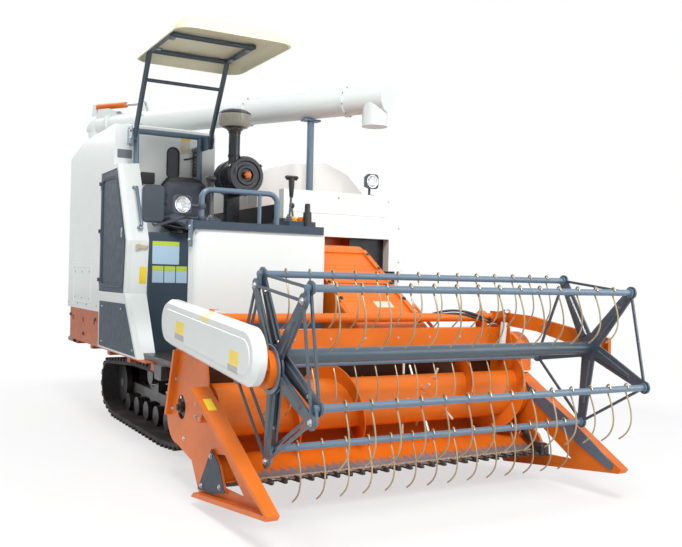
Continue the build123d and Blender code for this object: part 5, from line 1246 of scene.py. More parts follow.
@dataclass
class Header(Assembly):
    """Small parts of the header's sides, back wall, feeder and drives."""

    inner: float = 1.045
    bracket_y: float = 1.0655
    sheet_y: float = 1.053
    bearing: Triple = (1.375, 1.103, 0.51)
    bearing_r: float = 0.048
    beam_x: float = 1.2225
    lid_foot: Triple = (1.127, 0.0, 0.920)
    lid_head: Triple = (0.27, 0.0, 1.449)
    shaft: tuple[float, float] = (0.96, 0.47)
    teeth: int = 12

    def sides(self) -> None:
        """Divider brackets, side bolts and bearing bolts on both sides, then the deflectors' parts.
        """
        poly = np.array(
            [(1.300, 0.085), (1.500, 0.105), (1.690, 0.150), (1.600, 0.275), (1.490, 0.331)])
        for side, label in ((-1, "right"), (1, "left")):
            y, sheet = side * self.bracket_y, side * self.sheet_y
            order = poly if side < 0 else poly[::-1]
            outline = columns(order[:, 0], y, order[:, 1])
            plate = slab(outline, side * Y, 0.004, 0.0015)
            self.piece(f"divider_bracket_{label}", plate, "panel_slate", body="header")
            face = y + side * 0.004
            places = np.array([(1.36, face, 0.115), (1.62, face, 0.165), (1.49, face, 0.295)])
            x, out, z = self.bearing
            t = np.array([0.785, 2.356, 3.927, 5.498])
            flange = columns(
                x + self.bearing_r * np.cos(t), side * out, z + self.bearing_r * np.sin(t))
            rear = np.array([(0.93, sheet, 0.80), (0.86, sheet, 0.62), (0.80, sheet, 0.44),
                             (1.02, sheet, 0.30), (1.16, sheet, 0.88), (1.25, sheet, 0.80)])
            self.piece(f"side_bolts_{label}",
                       bolts(np.concatenate([places, rear]), side * Y, 0.02, 0.009), "bare_steel",
                       body="header")
            self.piece(f"bearing_bolts_{label}", bolts(flange, side * Y, 0.014, 0.007),
                          "bare_steel", body="header")
        self.deflector()

    def deflector(self) -> None:
        """Blank yellow label on the right deflector, and the slate strip along the left one's inner
        edge.
        """
        start, end = np.array([1.39, 0.0, 0.64]), np.array([2.275, 0.0, 0.19])
        along = unit(end - start)
        up = np.cross(along, Y)
        up = up if up[2] > 0 else -up
        at = start + along * 0.16 + [0, -1.098, 0] + up * 0.0005
        label = pressed(at, along, -Y, 0.10, 0.045, 0.004, LABEL, 3)
        if np.cross(along, -Y) @ up <= 0:
            label = pressed(at, -Y, along, 0.045, 0.10, 0.004, LABEL, 3)
        self.piece("deflector_label", label, "frame_orange", "label_yellow", body="header")
        t = np.linspace(0.12, 0.93, 24)
        middle = start + np.outer(t, end - start) + [0, self.inner - 0.006, 0]
        width = 0.034 * np.sin(np.pi * np.clip(t, 0.05, 0.97)) + 0.012
        low = middle + [0, 0, -0.03]
        rows = np.stack([low + np.outer(width, -up), low + np.outer(width, up)], 1)
        strip = np.concatenate([rows, rows[:, ::-1] + [0, 0.005, 0]], 1)
        self.piece("left_edge_strip", skin(strip), "panel_slate", "stay_blue", body="header")

    def wall(self) -> None:
        """Slate hose bar under the top beam, bolts along the beam, and two hoses with their
        fittings.
        """
        bar = pressed((1.232, 0.10, 0.775), Y, Z, 0.78, 0.062, 0.008,
                      [(0, 0.002), (0.003, 0), (0.026, 0), (0.03, 0.004)])
        self.piece("wall_bar", bar, "panel_slate", "stay_blue", body="header")
        y = np.linspace(-0.95, 0.95, 9)
        self.piece("beam_bolts", bolts(columns(self.beam_x, y, 0.865), X, 0.017, 0.008),
                      "bare_steel", body="header")
        hose = []
        for k in range(2):
            t = np.linspace(0, 1, 26)
            path = columns(
                1.205 - 0.05 * t, 0.955 - 0.52 * t, 0.955 + 0.055 * np.sin(np.pi * t) + 0.02 * k)
            hose.append(tube(path, 0.008, 10))
        fitting = turned([(0.011, 0), (0.013, 0.004), (0.013, 0.02), (0.009, 0.026)],
                         (1.205, 0.955, 0.955), Y, 6)
        upper = fitting.repeated(np.array([[0, 0, 0], [0, 0, 0.02]]))
        self.piece("header_pipes", [*hose, upper], "black_plastic", body="header")

    def feeder(self) -> None:
        """Bolts down both flanges of the feeder's lid, its blank plates, its ribs and its two
        braces.
        """
        foot, head = np.array(self.lid_foot), np.array(self.lid_head)
        along = unit(head - foot)
        up = np.cross(-Y, along)
        up = up if up[2] > 0 else -up
        slope = float(np.linalg.norm(head - foot))
        runs = np.linspace(0.12, 0.88, 5) * slope
        places = np.array(
            [foot + along * run + up * 0.0135 + [0, y, 0] for run in runs for y in (0.028, 0.512)])
        self.piece("feeder_bolts", bolts(places, up, 0.024, 0.012), "black_paint", body="header")
        plates = []
        for run, y in ((0.26, 0.33), (0.86, 0.16)):
            at = foot + along * run * slope + up * 0.0012 + [0, y, 0]
            plates.append(
                pressed(at, Y, np.cross(up, Y), 0.13, 0.075, 0.006, [(0, 0), (0.0014, 0.0005)], 3))
        self.piece("feeder_plates", plates, "frame_orange", "label_pale", body="header")
        ribs = []
        for run in (0.30, 0.34, 0.70, 0.74):
            at = foot + along * run * slope + up * 0.0005 + [0, 0.27, 0]
            ribs.append(pressed(at, Y, np.cross(up, Y), 0.43, 0.018, 0.008,
                                [(0, 0), (0.003, 0.002), (0.005, 0.006)], 3))
        self.piece("feeder_ribs", ribs, "frame_orange", body="header")
        braces = [tube(columns(np.linspace(1.145, 0.93, 8), y, np.linspace(0.925, 1.06, 8)), 0.011,
                       10) for y in (-0.010, 0.55)]
        self.piece("feeder_braces", braces, "frame_orange", body="header")

    def drive(self) -> None:
        """Sprocket and hub on the right side plate."""
        hub = [(0.030, 0.0), (0.030, 0.018), (0.018, 0.022), (0.018, 0.034), (0.012, 0.036)]
        x, z = self.shaft
        disc = turned(hub, (x, -1.046, z), -Y, 28)
        a = around(72)
        r = 0.056 + 0.006 * np.clip(np.cos(a * self.teeth) * 1.6, -1, 1)
        rows = [columns(x + r * k * np.cos(a), y, z + r * k * np.sin(a))
                for y, k in ((-1.030, 0.9), (-1.034, 1.0), (-1.040, 1.0), (-1.044, 0.9))]
        gear = skin(rows)
        self.piece("side_sprocket", [gear, disc], "black_paint", "gear_dark", body="header")

    def build(self) -> None:
        """Builds all the header's small parts."""
        self.sides()
        self.wall()
        self.feeder()
        self.drive()


# -------------------------------------------------------- operator's station
@dataclass
class SeatPad(Assembly):
    """A stuffed pad: a rounded closed form that swells by cloth simulation, then gets its sewn
    channels.
    """

    name: str
    centre: Triple
    size: Triple
    lean: float
    dish: float
    channels: tuple[float, ...]
    cap: float = 0.016
    voxel: float = 0.006
    pressure: float = 4.0
    frames: int = 20
    stitch: float = 0.006
    fold: float = 0.004

    def place(self) -> Matrix:
        """Returns the pad's place: leant back about Y, then moved to its centre."""
        return Matrix.Translation(self.centre) @ Matrix.Rotation(math.radians(self.lean), 4, "Y")

    def form(self) -> Shape:
        """Crowned pad: a superellipse in plan, drawn in above and below, its sides raised by the
        dish.

        Returns:
            The pad, lying along X and Y before it is leant back about Y.
        """
        a = around(72)
        lat = np.radians(np.array([-88, -70, -50, -30, -10, 10, 30, 50, 70, 80, 88], float))
        plan = columns(np.sign(np.cos(a)) * np.abs(np.cos(a)) ** 0.45,
                       np.sign(np.sin(a)) * np.abs(np.sin(a)) ** 0.45)
        grow = np.abs(np.cos(lat)) ** 0.42
        rows = []
        for k, s in zip(grow, np.sin(lat)):
            x, y = plan[:, 0] * k, plan[:, 1] * k
            z = 0.5 * self.size[2] * np.sign(s) * abs(s) ** 0.8 + self.dish * (np.abs(y) ** 3)
            rows.append(columns(0.5 * self.size[0] * x, 0.5 * self.size[1] * y, z))
        return skin(rows).moved(np.array(self.place()))

    def swell(self, obj: bpy.types.Object) -> None:
        """Remeshes the pad, lets it swell under pressure and keeps the result.

        Args:
            obj: the pad's object, whose mesh is replaced.
        """
        scene = bpy.context.scene
        work = linked(f"{obj.name}_work", obj.data.copy())
        remesh = work.modifiers.new("remesh", "REMESH")
        remesh.mode, remesh.voxel_size = "VOXEL", self.voxel
        start = self.applied(work)
        work.modifiers.clear()
        work.data = start
        before = points_of(start)
        cloth = work.modifiers.new("cloth", "CLOTH")
        cloth.settings.use_pressure = True
        cloth.settings.uniform_pressure_force = self.pressure
        cloth.settings.effector_weights.gravity = 0.0
        cloth.collision_settings.use_collision = False
        for frame in range(1, self.frames + 1):
            scene.frame_set(frame)
        result = self.applied(work)
        scene.frame_set(1)
        move = points_of(result) - before
        size = np.linalg.norm(move, axis=1)[:, None]
        after = before + move * np.minimum(1.0, self.cap / np.maximum(size, 1e-9))
        result.vertices.foreach_set("co", after.astype(np.float32).ravel())
        obj.data = result
        bpy.data.objects.remove(work)

    @staticmethod
    def applied(obj: bpy.types.Object) -> bpy.types.Mesh:
        """Returns a new mesh with the object's modifiers applied.

        Args:
            obj: the object.

        Returns:
            The mesh.
        """
        graph = bpy.context.evaluated_depsgraph_get()
        graph.update()
        return bpy.data.meshes.new_from_object(obj.evaluated_get(graph), depsgraph=graph)

    def sew(self, obj: bpy.types.Object) -> None:
        """Presses the channels in along the normals: depth * exp(-(distance / depth) squared).

        Args:
            obj: the pad's object.
        """
        points = points_of(obj.data)
        normals = np.empty(len(points) * 3, np.float32)
        obj.data.vertices.foreach_get("normal", normals)
        normals = normals.reshape(-1, 3)
        back = np.array(self.place().inverted())
        local = points @ back[:3, :3].T + back[:3, 3]
        depth = np.zeros(len(points))
        for at in self.channels:
            edge = np.exp(-(((np.abs(local[:, 1]) - at * self.size[1] / 2) / self.stitch) ** 2))
            depth = np.maximum(depth, edge * self.stitch)
        upper = local[:, 2] > -0.1 * self.size[2]
        inside = np.abs(local[:, 1]) < self.channels[0] * self.size[1] / 2
        across = np.exp(-((local[:, 0] / self.stitch) ** 2)) * inside
        depth = np.maximum(depth, across * self.fold) * upper
        points -= normals * depth[:, None]
        obj.data.vertices.foreach_set("co", points.astype(np.float32).ravel())
        obj.data.update()

    def build(self) -> bpy.types.Object:
        """Returns:
            The finished pad.
        """
        obj = new_object(self.name, self.form(), None)
        self.swell(obj)
        obj.data.polygons.foreach_set("use_smooth", np.ones(len(obj.data.polygons), bool))
        obj.data.update()
        self.sew(obj)
        obj.data.materials.clear()
        obj.data.materials.append(self.dresser.paints.get("seat_vinyl"))
        smooth = obj.modifiers.new("smooth", "SUBSURF")
        smooth.levels = smooth.render_levels = 1
        self.dresser.enrol(obj, "seat_vinyl")
        return obj


def points_of(mesh: bpy.types.Mesh) -> Array:
    """Returns a mesh's points as an (N, 3) array.

    Args:
        mesh: the mesh.

    Returns:
        Its points.
    """
    flat = np.empty(len(mesh.vertices) * 3, np.float32)
    mesh.vertices.foreach_get("co", flat)
    return flat.reshape(-1, 3).astype(float)


@dataclass
class Seat(Assembly):
    """Bucket seat: a moulded shell on two runners, with a cushion and a back pad."""

    y: float = -0.580
    deck: float = 1.520

    def shell(self) -> Shape:
        """Moulded shell: a section that runs under the cushion and up behind the back, its edges
        curled.

        Returns:
            The shell as one closed sheet.
        """
        line = np.array(
            [(-0.128, 1.560), (-0.150, 1.545), (-0.250, 1.540), (-0.380, 1.545), (-0.460, 1.565),
             (-0.495, 1.620), (-0.505, 1.700), (-0.510, 1.800), (-0.518, 1.890), (-0.524, 1.945),
             (-0.522, 1.960)])
        half = np.array(
            [0.195, 0.212, 0.218, 0.218, 0.218, 0.218, 0.214, 0.200, 0.176, 0.130, 0.085])
        curl = np.array([0.01, 0.03, 0.045, 0.055, 0.06, 0.05, 0.045, 0.04, 0.03, 0.015, 0.004])
        s = np.linspace(-1, 1, 25)
        tangent = np.gradient(line, axis=0)
        tangent /= np.linalg.norm(tangent, axis=1)[:, None]
        normal = columns(-tangent[:, 1], tangent[:, 0])
        normal *= np.sign(normal @ np.array([1.0, 0.8]))[:, None]
        lift = curl[:, None] * np.abs(s)[None] ** 4
        at = line[:, None] + normal[:, None] * lift[..., None]
        front = columns(at[..., 0], self.y + half[:, None] * s[None], at[..., 1])
        rear = front.copy()
        rear[..., [0, 2]] -= normal[:, None] * 0.010
        return skin(np.concatenate([front, rear[:, ::-1]], 1))

    def build(self) -> None:
        """Builds the seat in place of the plain one."""
        shell = self.piece("seat_shell", self.shell(), "seat_vinyl", "black_plastic")
        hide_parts("operator_seat")
        runners = [pressed((-0.31, self.y + side * 0.13, self.deck), X, Y, 0.32, 0.04, 0.008,
                           [(0, 0), (0.018, 0), (0.022, 0.004)], 3) for side in (-1, 1)]
        self.piece("seat_runners", runners, "seat_vinyl", "black_paint")
        SeatPad(self.dresser, "seat_cushion", (-0.302, self.y, 1.594), (0.350, 0.400, 0.076), 3.0,
                0.046, (0.62,)).build()
        SeatPad(self.dresser, "seat_back", (-0.474, self.y, 1.772), (0.325, 0.365, 0.052), -85.0,
                0.030, (0.60,)).build()


@dataclass
class Lamp(Assembly):
    """A work lamp: dark rounded housing on its stalk, chrome bowl and lens."""

    name: str
    face: Triple
    half: float = 0.056

    def build(self, stalk: Shape) -> bpy.types.Object:
        """Builds the lamp.

        Args:
            stalk: the rod that carries it.

        Returns:
            The housing.
        """
        x, y, z = self.face
        h = self.half
        rows = [(-0.088, h * 0.62), (-0.080, h * 0.50), (-0.055, h * 0.22), (-0.020, 0.004),
                (-0.012, 0.0), (-0.004, 0.0), (0.0, 0.003), (0.0, 0.012), (-0.010, 0.014)]
        housing = pressed((x, y, z), Y, Z, 2 * h, 2 * h, 0.026, rows, 6)
        body = self.piece(f"{self.name}_housing", [housing, stalk], "black_plastic", "lamp_housing")
        bowl = turned([(0.008, -0.009), (0.025, -0.0075), (h - 0.018, -0.003), (h - 0.011, 0.0015),
                       (h - 0.008, 0.0015), (h - 0.008, -0.0085)], (x, y, z), X, 36)
        self.piece(f"{self.name}_bowl", bowl, "lamp_chrome")
        lens = turned([(h - 0.012, 0.0016), (h - 0.013, 0.0045), (h - 0.024, 0.0075),
                       (0.012, 0.0095), (0.004, 0.0098)], (x, y, z), X, 36)
        self.piece(f"{self.name}_lens", lens, "window_glass", "lens_glass")
        return body


class Grip(Enum):
    """What stands on a lever's rod."""

    TEE = "tee"
    BALL = "ball"
    HEAD = "head"


@dataclass
class Station(Assembly):
    """Levers, lamps, mirror, labels and small fittings round the operator."""

    right: float = -1.050
    deck: float = 1.590
    panel_x: float = -0.2088
    strip_in: float = 0.036
    strip_run: tuple[float, float] = (0.090, 0.094)

    def levers(self) -> None:
        """Bent rods in rubber boots, each with its own moulded grip."""
        cap = 1.550
        rows = [((0.600, -0.228, self.deck), (0.618, -0.222, 1.850), Grip.TEE),
                ((0.430, -0.120, self.deck), (0.418, -0.120, 1.700), Grip.BALL),
                ((0.300, -0.180, self.deck), (0.300, -0.180, 1.680), Grip.BALL),
                ((0.680, -0.800, cap), (0.666, -0.800, 1.790), Grip.HEAD)]
        sticks, grips = [], []
        for foot, top, kind in rows:
            foot, top = np.array(foot), np.array(top)
            t = np.linspace(0, 1, 12)[:, None]
            path = foot + (top - foot) * t + np.array([0.010, 0, 0]) * np.sin(np.pi * t)
            sticks.append(tube(path, 0.0075, 12))
            boot = [(0.030, 0.0), (0.030, 0.004), (0.024, 0.010), (0.026, 0.014), (0.019, 0.022),
                    (0.021, 0.026), (0.013, 0.036), (0.010, 0.046)]
            sticks.append(turned(boot, foot, Z, 20))
            if kind is Grip.TEE:
                grips.append(turned([(0.009, -0.105), (0.0125, -0.10), (0.019, -0.02),
                                     (0.020, 0.022)], top, Z, 18))
                grips.append(pressed(top + [0, 0, 0.040], Y, X, 0.098, 0.034, 0.015,
                                     [(0.0, 0.012), (0.005, 0.003), (0.013, 0.0), (0.020, 0.006),
                                      (0.030, 0.013)], 4))
            elif kind is Grip.BALL:
                lat = np.radians(np.linspace(-80, 85, 12))
                grips.append(
                    turned(columns(0.0195 * np.cos(lat), 0.021 * np.sin(lat) + 0.012), top, Z, 22))
            else:
                grips.append(turned([(0.009, -0.105), (0.013, -0.10), (0.022, -0.03), (0.021, 0.0),
                                     (0.024, 0.014), (0.030, 0.020), (0.034, 0.028), (0.033, 0.036),
                                     (0.026, 0.043), (0.012, 0.047)], top, Z, 28))
        sticks_obj = self.piece("lever_rods", sticks, "black_plastic", "lever_rod")
        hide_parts("control_levers")
        self.piece("lever_grips", grips, "black_plastic")
        dome = np.array(
            [(0.016, 0.0), (0.023, 0.004), (0.024, 0.018), (0.018, 0.026), (0.008, 0.028)])
        knobs = [turned(dome * grow, (*at, self.deck), Z, 24)
                 for at, grow in (((0.500, -0.155), 1.5), ((0.590, -0.130), 1.25))]
        self.piece("console_knob_amber", knobs[0], "black_plastic", "knob_amber")
        self.piece("console_knob_orange", knobs[1], "black_plastic", "knob_orange")
        posts = [pressed((0.655, -0.120, 1.550), Y, -X, 0.050, 0.050, 0.012,
                         [(0, 0), (0.10, 0.002), (0.106, 0.008)], 3),
                 pressed((0.655, -0.120, 1.655), Y, -X, 0.032, 0.032, 0.008,
                         [(0, 0), (0.05, 0.001), (0.055, 0.005)], 3),
                 pressed((0.470, -0.220, 1.590), Y, -X, 0.045, 0.07, 0.010,
                         [(0, 0), (0.022, 0.001), (0.03, 0.008)], 3)]
        self.piece("console_switches", posts, "black_plastic")

    def lamps(self) -> None:
        """The lamp on the guard rail and the one on the threshing cover."""
        low = tube([[0.74, -0.897, 1.640], [0.74, -0.93, 1.640], [0.735, -0.97, 1.640]], 0.009, 12)
        first = Lamp(self.dresser, "rail_lamp", (0.786, -1.013, 1.640)).build(low)
        stem = tube([[0.080, 0.700, 1.862], [0.080, 0.700, 1.90], [0.080, 0.700, 1.925]], 0.009, 12)
        Lamp(self.dresser, "cover_lamp", (0.126, 0.700, 1.968)).build(stem)
        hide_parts("work_lamps")
        foot = pressed(
            (0.080, 0.700, 1.861), X, Y, 0.07, 0.05, 0.01, [(0, 0), (0.004, 0), (0.006, 0.002)], 3)
        self.piece("cover_lamp_foot", foot, "black_plastic", "lamp_housing")

    def mirror(self) -> None:
        """Silvered glass on the mirror's rear side, and the clamps of its arm."""
        glass = pressed((0.3915, -1.080, 1.6665), Z, Y, 0.215, 0.120, 0.026,
                        [(0.0, 0.0), (-0.0012, 0.0), (-0.002, 0.001)])
        self.piece("mirror_glass", glass, "black_plastic", "silvered")
        clamps = [turned([(0.024, -0.016), (0.026, -0.012), (0.026, 0.012), (0.024, 0.016)],
                         (0.740, -0.880, z), Z, 20) for z in (1.566, 1.640)]
        self.piece("rail_clamps", clamps, "reel_steel", "lamp_housing")

    def labels(self) -> None:
        """Blank labels: a lime head over a pale body on the dark panel, plates on the pod and the
        tank.
        """
        bodies, heads = [], []
        for y0, y1, z0, z1, head in [(-0.895, -0.700, 1.296, 1.428, 1.458),
                                     (-0.893, -0.812, 1.165, 1.250, 1.284),
                                     (-0.806, -0.726, 1.165, 1.250, 1.284),
                                     (-0.720, -0.640, 1.165, 1.250, 1.284)]:
            mid = ((y0 + y1) / 2, (z0 + z1) / 2)
            bodies.append(pressed((self.panel_x, *mid), Y, Z, y1 - y0, z1 - z0, 0.003,
                                  [(0, 0), (0.0010, 0.0003)], 2))
            heads.append(pressed((self.panel_x, mid[0], (z1 + head) / 2), Y, Z, y1 - y0, head - z1,
                                 0.003, [(0, 0), (0.0012, 0.0003)], 2))
        self.piece("panel_label_bodies", bodies, "panel_slate", "label_blue")
        self.piece("panel_label_heads", heads, "panel_slate", "label_lime")
        strip = self.on_strip(1.215, -0.945, 0.052, 0.12)
        self.piece("pod_label", strip, "body_white", "label_yellow")
        fitting = [self.on_strip(1.415, -0.955, 0.09, 0.022, 0.014),
                   self.on_strip(1.418, -0.975, 0.03, 0.034, 0.020)]
        self.piece("pod_fitting", fitting, "body_white", "buff_strip")
        plate = pressed((TANK_FRONT, -0.502, 2.215), Y, Z, 0.075, 0.10, 0.004, LABEL, 3)
        top = pressed((TANK_FRONT, -0.502, 2.276), Y, Z, 0.075, 0.022, 0.004, LABEL, 3)
        self.piece("tank_label", plate, "body_white", "label_pale")
        self.piece("tank_label_head", top, "body_white", "label_amber")
        side = pressed(
            (TANK_FRONT, -0.975, 2.125), Y, Z, 0.11, 0.065, 0.004, [(0, 0), (0.0016, 0.0005)], 3)
        self.piece("tank_side_plate", side, "body_white", "plate_grey")
        box_rows = [(0, 0), (0.022, 0.0), (0.026, 0.004)]
        control = [pressed((TANK_FRONT, -0.800, 1.955), Y, Z, 0.105, 0.085, 0.008, box_rows, 3)]
        control += [pressed((-0.683, -0.800, 1.930 + 0.016 * k), Y, Z, 0.075, 0.007, 0.003, PAD, 2)
                    for k in range(4)]
        self.piece("tank_control_box", control, "black_plastic")
        self.piece("window_gasket", self.gasket(), "black_plastic", "gasket")

    @staticmethod
    def gasket() -> Shape:
        """Rubber bead round the tall window: two half circles joined by straight sides.

        Returns:
            The bead.
        """
        radius, straight = 0.047, 0.075
        a = np.linspace(0, np.pi, 20)
        top = columns(radius * np.cos(a), straight + radius * np.sin(a))
        ring = np.concatenate([top, -top])
        return loop(columns(TANK_FRONT + 0.001, -0.600 + ring[:, 0], 2.085 + ring[:, 1]), 0.0055, X)

    @staticmethod
    def strip_x(z: float) -> float:
        """Returns X of the pod's leaning outer front edge at a height, straight from bend to bend.
        """
        return float(np.interp(z, [0.650, 1.085, 1.460, 2.035], [0.020, -0.335, -0.300, -0.600]))

    def on_strip(self, z: float, y: float, wide: float, high: float, deep: float = 0.0014) -> Shape:
        """A thin plate lying on the pod's turned front face.

        Args:
            z: its middle height.
            y: its middle across.
            wide: width.
            high: height.
            deep: thickness.

        Returns:
            The plate.
        """
        ahead, across = self.strip_run
        u = unit((ahead, across, 0.0))
        dz = 0.04
        v = unit((self.strip_x(z + dz) - self.strip_x(z - dz), 0.0, 2 * dz))
        n = unit(np.cross(u, v))
        n = n if n[0] > 0 else -n
        share = (y - (self.right + self.strip_in)) / across
        at = np.array([self.strip_x(z) + ahead * share, y, z]) + n * 0.0006
        if np.cross(u, v) @ n < 0:
            u = -u
        return pressed(at, u, v, wide, high, 0.004, [(0, 0), (deep * 0.7, 0), (deep, 0.0006)], 3)

    def tank_lever(self) -> None:
        """Perforated quadrant post on the tank's front with its cranked rod."""
        post = pressed((-0.700, -0.430, 2.090), Y, Z, 0.034, 0.20, 0.010,
                       [(0, 0), (0.012, 0), (0.016, 0.003)], 4)
        holes = [turned([(0.0065, 0), (0.0065, 0.0015)], (-0.6838, -0.430, 2.020 + 0.028 * k), X,
                        14) for k in range(6)]
        rod_path = np.array([[-0.672, -0.525, 2.115], [-0.672, -0.480, 2.125],
                             [-0.672, -0.430, 2.142], [-0.672, -0.385, 2.160]])
        self.piece("quadrant_post", [post, tube(rod_path, 0.007, 10)], "black_plastic")
        self.piece("quadrant_holes", holes, "black_plastic", "plate_grey")

    def handle(self) -> None:
        """Dark grip and end flanges on the pod's handle."""
        y = -0.967
        x1, x0 = self.strip_x(1.850) + 0.045, self.strip_x(1.560) + 0.045
        top, low = np.array([x1 + 0.060, y, 1.860]), np.array([x0 + 0.075, y, 1.560])
        ends = [np.array([x1 - 0.020, y, 1.8477]), np.array([x0 - 0.020, y, 1.5477])]
        path = [ends[0] + (top - ends[0]) * t for t in (0, 0.35, 0.62)]
        path += [top + (low - top) * t for t in (0.045, 0.09, 0.25, 0.5, 0.75, 0.91, 0.955)]
        path += [low + (ends[1] - low) * t for t in (0.38, 0.65, 1)]
        grip = tube(np.array(path), 0.0128, 14)
        self.piece("pod_handle_grip", grip, "body_white", "stay_blue")

    def build(self) -> None:
        """Builds everything round the operator."""
        self.levers()
        self.lamps()
        self.mirror()
        self.labels()
        self.tank_lever()
        self.handle()


@dataclass
class AirCleaner(Assembly):
    """Orange wing nut, clips, bands and the clear bowl of the air cleaner."""

    y: float = -0.200
    z: float = 1.975
    pipe: tuple[float, float] = (-0.240, -0.285)
    body_r: float = 0.146
    bowl_r: float = 0.1142
    fins: int = 26

    def build(self) -> None:
        """Builds the air cleaner's small parts."""
        a = around(60)
        r = 0.026 + 0.004 * np.cos(a * 6)
        rows = [columns(x, self.y + r * k * np.cos(a), self.z + r * k * np.sin(a))
                for x, k in ((-0.186, 0.95), (-0.184, 1.0), (-0.166, 1.0), (-0.160, 0.85),
                             (-0.158, 0.3))]
        nut = skin(rows)
        self.piece("cleaner_nut", nut, "black_plastic", "knob_orange")
        clips = []
        for t in (0.6, 2.7, 4.8):
            out = np.array([0.0, math.cos(t), math.sin(t)])
            at = np.array([-0.228, self.y, self.z]) + out * self.body_r
            clips.append(pressed(at, X, np.cross(out, X), 0.062, 0.022, 0.005,
                                 [(0, 0), (0.003, 0), (0.006, 0.003)], 3))
        self.piece("cleaner_clips", clips, "black_plastic", "bare_steel")
        x, y = self.pipe
        bands = [turned([(0.0425, -0.009), (0.046, -0.008), (0.046, 0.008), (0.0425, 0.009)],
                        (x, y, z), Z, 28) for z in (2.115, 2.290)]
        self.piece("pipe_bands", bands, "black_plastic", "gear_dark")
        bowl = turned([(0.050, 2.299), (0.064, 2.316), (0.100, 2.328), (0.1135, 2.348),
                       (0.1140, 2.412)], (x, y, 0), Z, 48)
        self.piece("cleaner_bowl", bowl, "black_plastic", "bowl_clear")
        fins = [pressed((x + self.bowl_r * math.cos(t), y + self.bowl_r * math.sin(t), 2.380),
                        (-math.sin(t), math.cos(t), 0), Z, 0.006, 0.066, 0.002,
                        [(0, 0), (0.0016, 0), (0.0026, 0.001)], 2) for t in around(self.fins)]
        self.piece("bowl_fins", fins, "black_plastic", "bowl_ivory")


@dataclass
class Canopy(Assembly):
    """Moulded roof with its beads, pivot plates, pins and clamps of the folding canopy."""

    middle: tuple[float, float] = (0.265, -0.665)
    size: tuple[float, float] = (0.990, 0.780)
    level: float = 2.7893

    def roof(self) -> Shape:
        """Drooped-rim roof: rounded rectangles drawn in row by row, up the outside and down the
        hollow.

        Returns:
            One closed skin, slightly domed.
        """
        outer = np.array(
            [(-84, 0), (-66, 1.5), (-50, 5), (-36, 11), (-24, 19), (-13, 30), (-4, 44), (3, 62),
             (8, 86), (11, 115), (13, 160), (15, 215), (17, 280), (18, 340), (18.4, 386)]) / 1000
        inner = np.array(
            [(-85, 10), (-66, 12.5), (-50, 17), (-36, 24), (-24, 32), (-13, 42), (-6, 55), (0, 74),
             (2, 100), (4, 160), (6, 215), (7.5, 280), (8.5, 340), (9, 386)]) / 1000
        rows = []
        for height, inset in np.concatenate([inner[::-1], outer]):
            wide, high = self.size[0] - 2 * inset, self.size[1] - 2 * inset
            flat = rounded_outline(
                wide, high, min(max(0.115 - 0.25 * inset, 0.03), high / 2 - 0.0005), 8)
            rows.append(columns(*(flat + self.middle).T, self.level + height))
        return skin(rows)

    def build(self) -> None:
        """Builds the roof and the canopy's small parts."""
        shell = self.piece("canopy_shell", self.roof(), "canopy_cream", None, "canopy", 60.0)
        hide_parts("canopy_roof")
        beads = []
        for x in (0.06, 0.265, 0.47):
            t = np.linspace(-1, 1, 31)
            z = self.level + 0.0165 - 0.006 * t ** 2 - 0.5 * np.clip(np.abs(t) - 0.86, 0, 1) ** 1.5
            beads.append(tube(columns(x, self.middle[1] + 0.30 * t, z), 0.006, 8))
        self.piece("canopy_beads", beads, "canopy_cream", body="canopy")
        plates, pins = [], []
        for y in (-0.992, -0.378):
            side = -1 if y < -0.6 else 1
            outline = [(-0.505, 2.185), (-0.445, 2.185), (-0.425, 2.250), (-0.440, 2.300),
                       (-0.490, 2.300), (-0.512, 2.250)]
            order = outline if side < 0 else outline[::-1]
            ring = np.array([(px, y + side * 0.001, pz) for px, pz in order])
            plates.append(slab(ring, side * Y, 0.004, 0.0015))
            pins += [(-0.470, y + side * 0.005, 2.205), (-0.470, y + side * 0.005, 2.265)]
        self.piece("canopy_plates", plates, "reel_steel")
        for side, rows in ((-1, pins[:2]), (1, pins[2:])):
            label = "right" if side < 0 else "left"
            self.piece(f"canopy_pins_{label}", bolts(rows, side * Y, 0.022, 0.011), "bare_steel")
        clamps = [pressed((x, y, 2.7505), X, Y, 0.05, 0.034, 0.006,
                          [(0, 0), (-0.004, 0), (-0.006, 0.002)], 3) for x in (0.02, 0.31)
                  for y in (-0.95, -0.42)]
        self.piece("roof_clamps", clamps, "reel_steel", body="canopy")


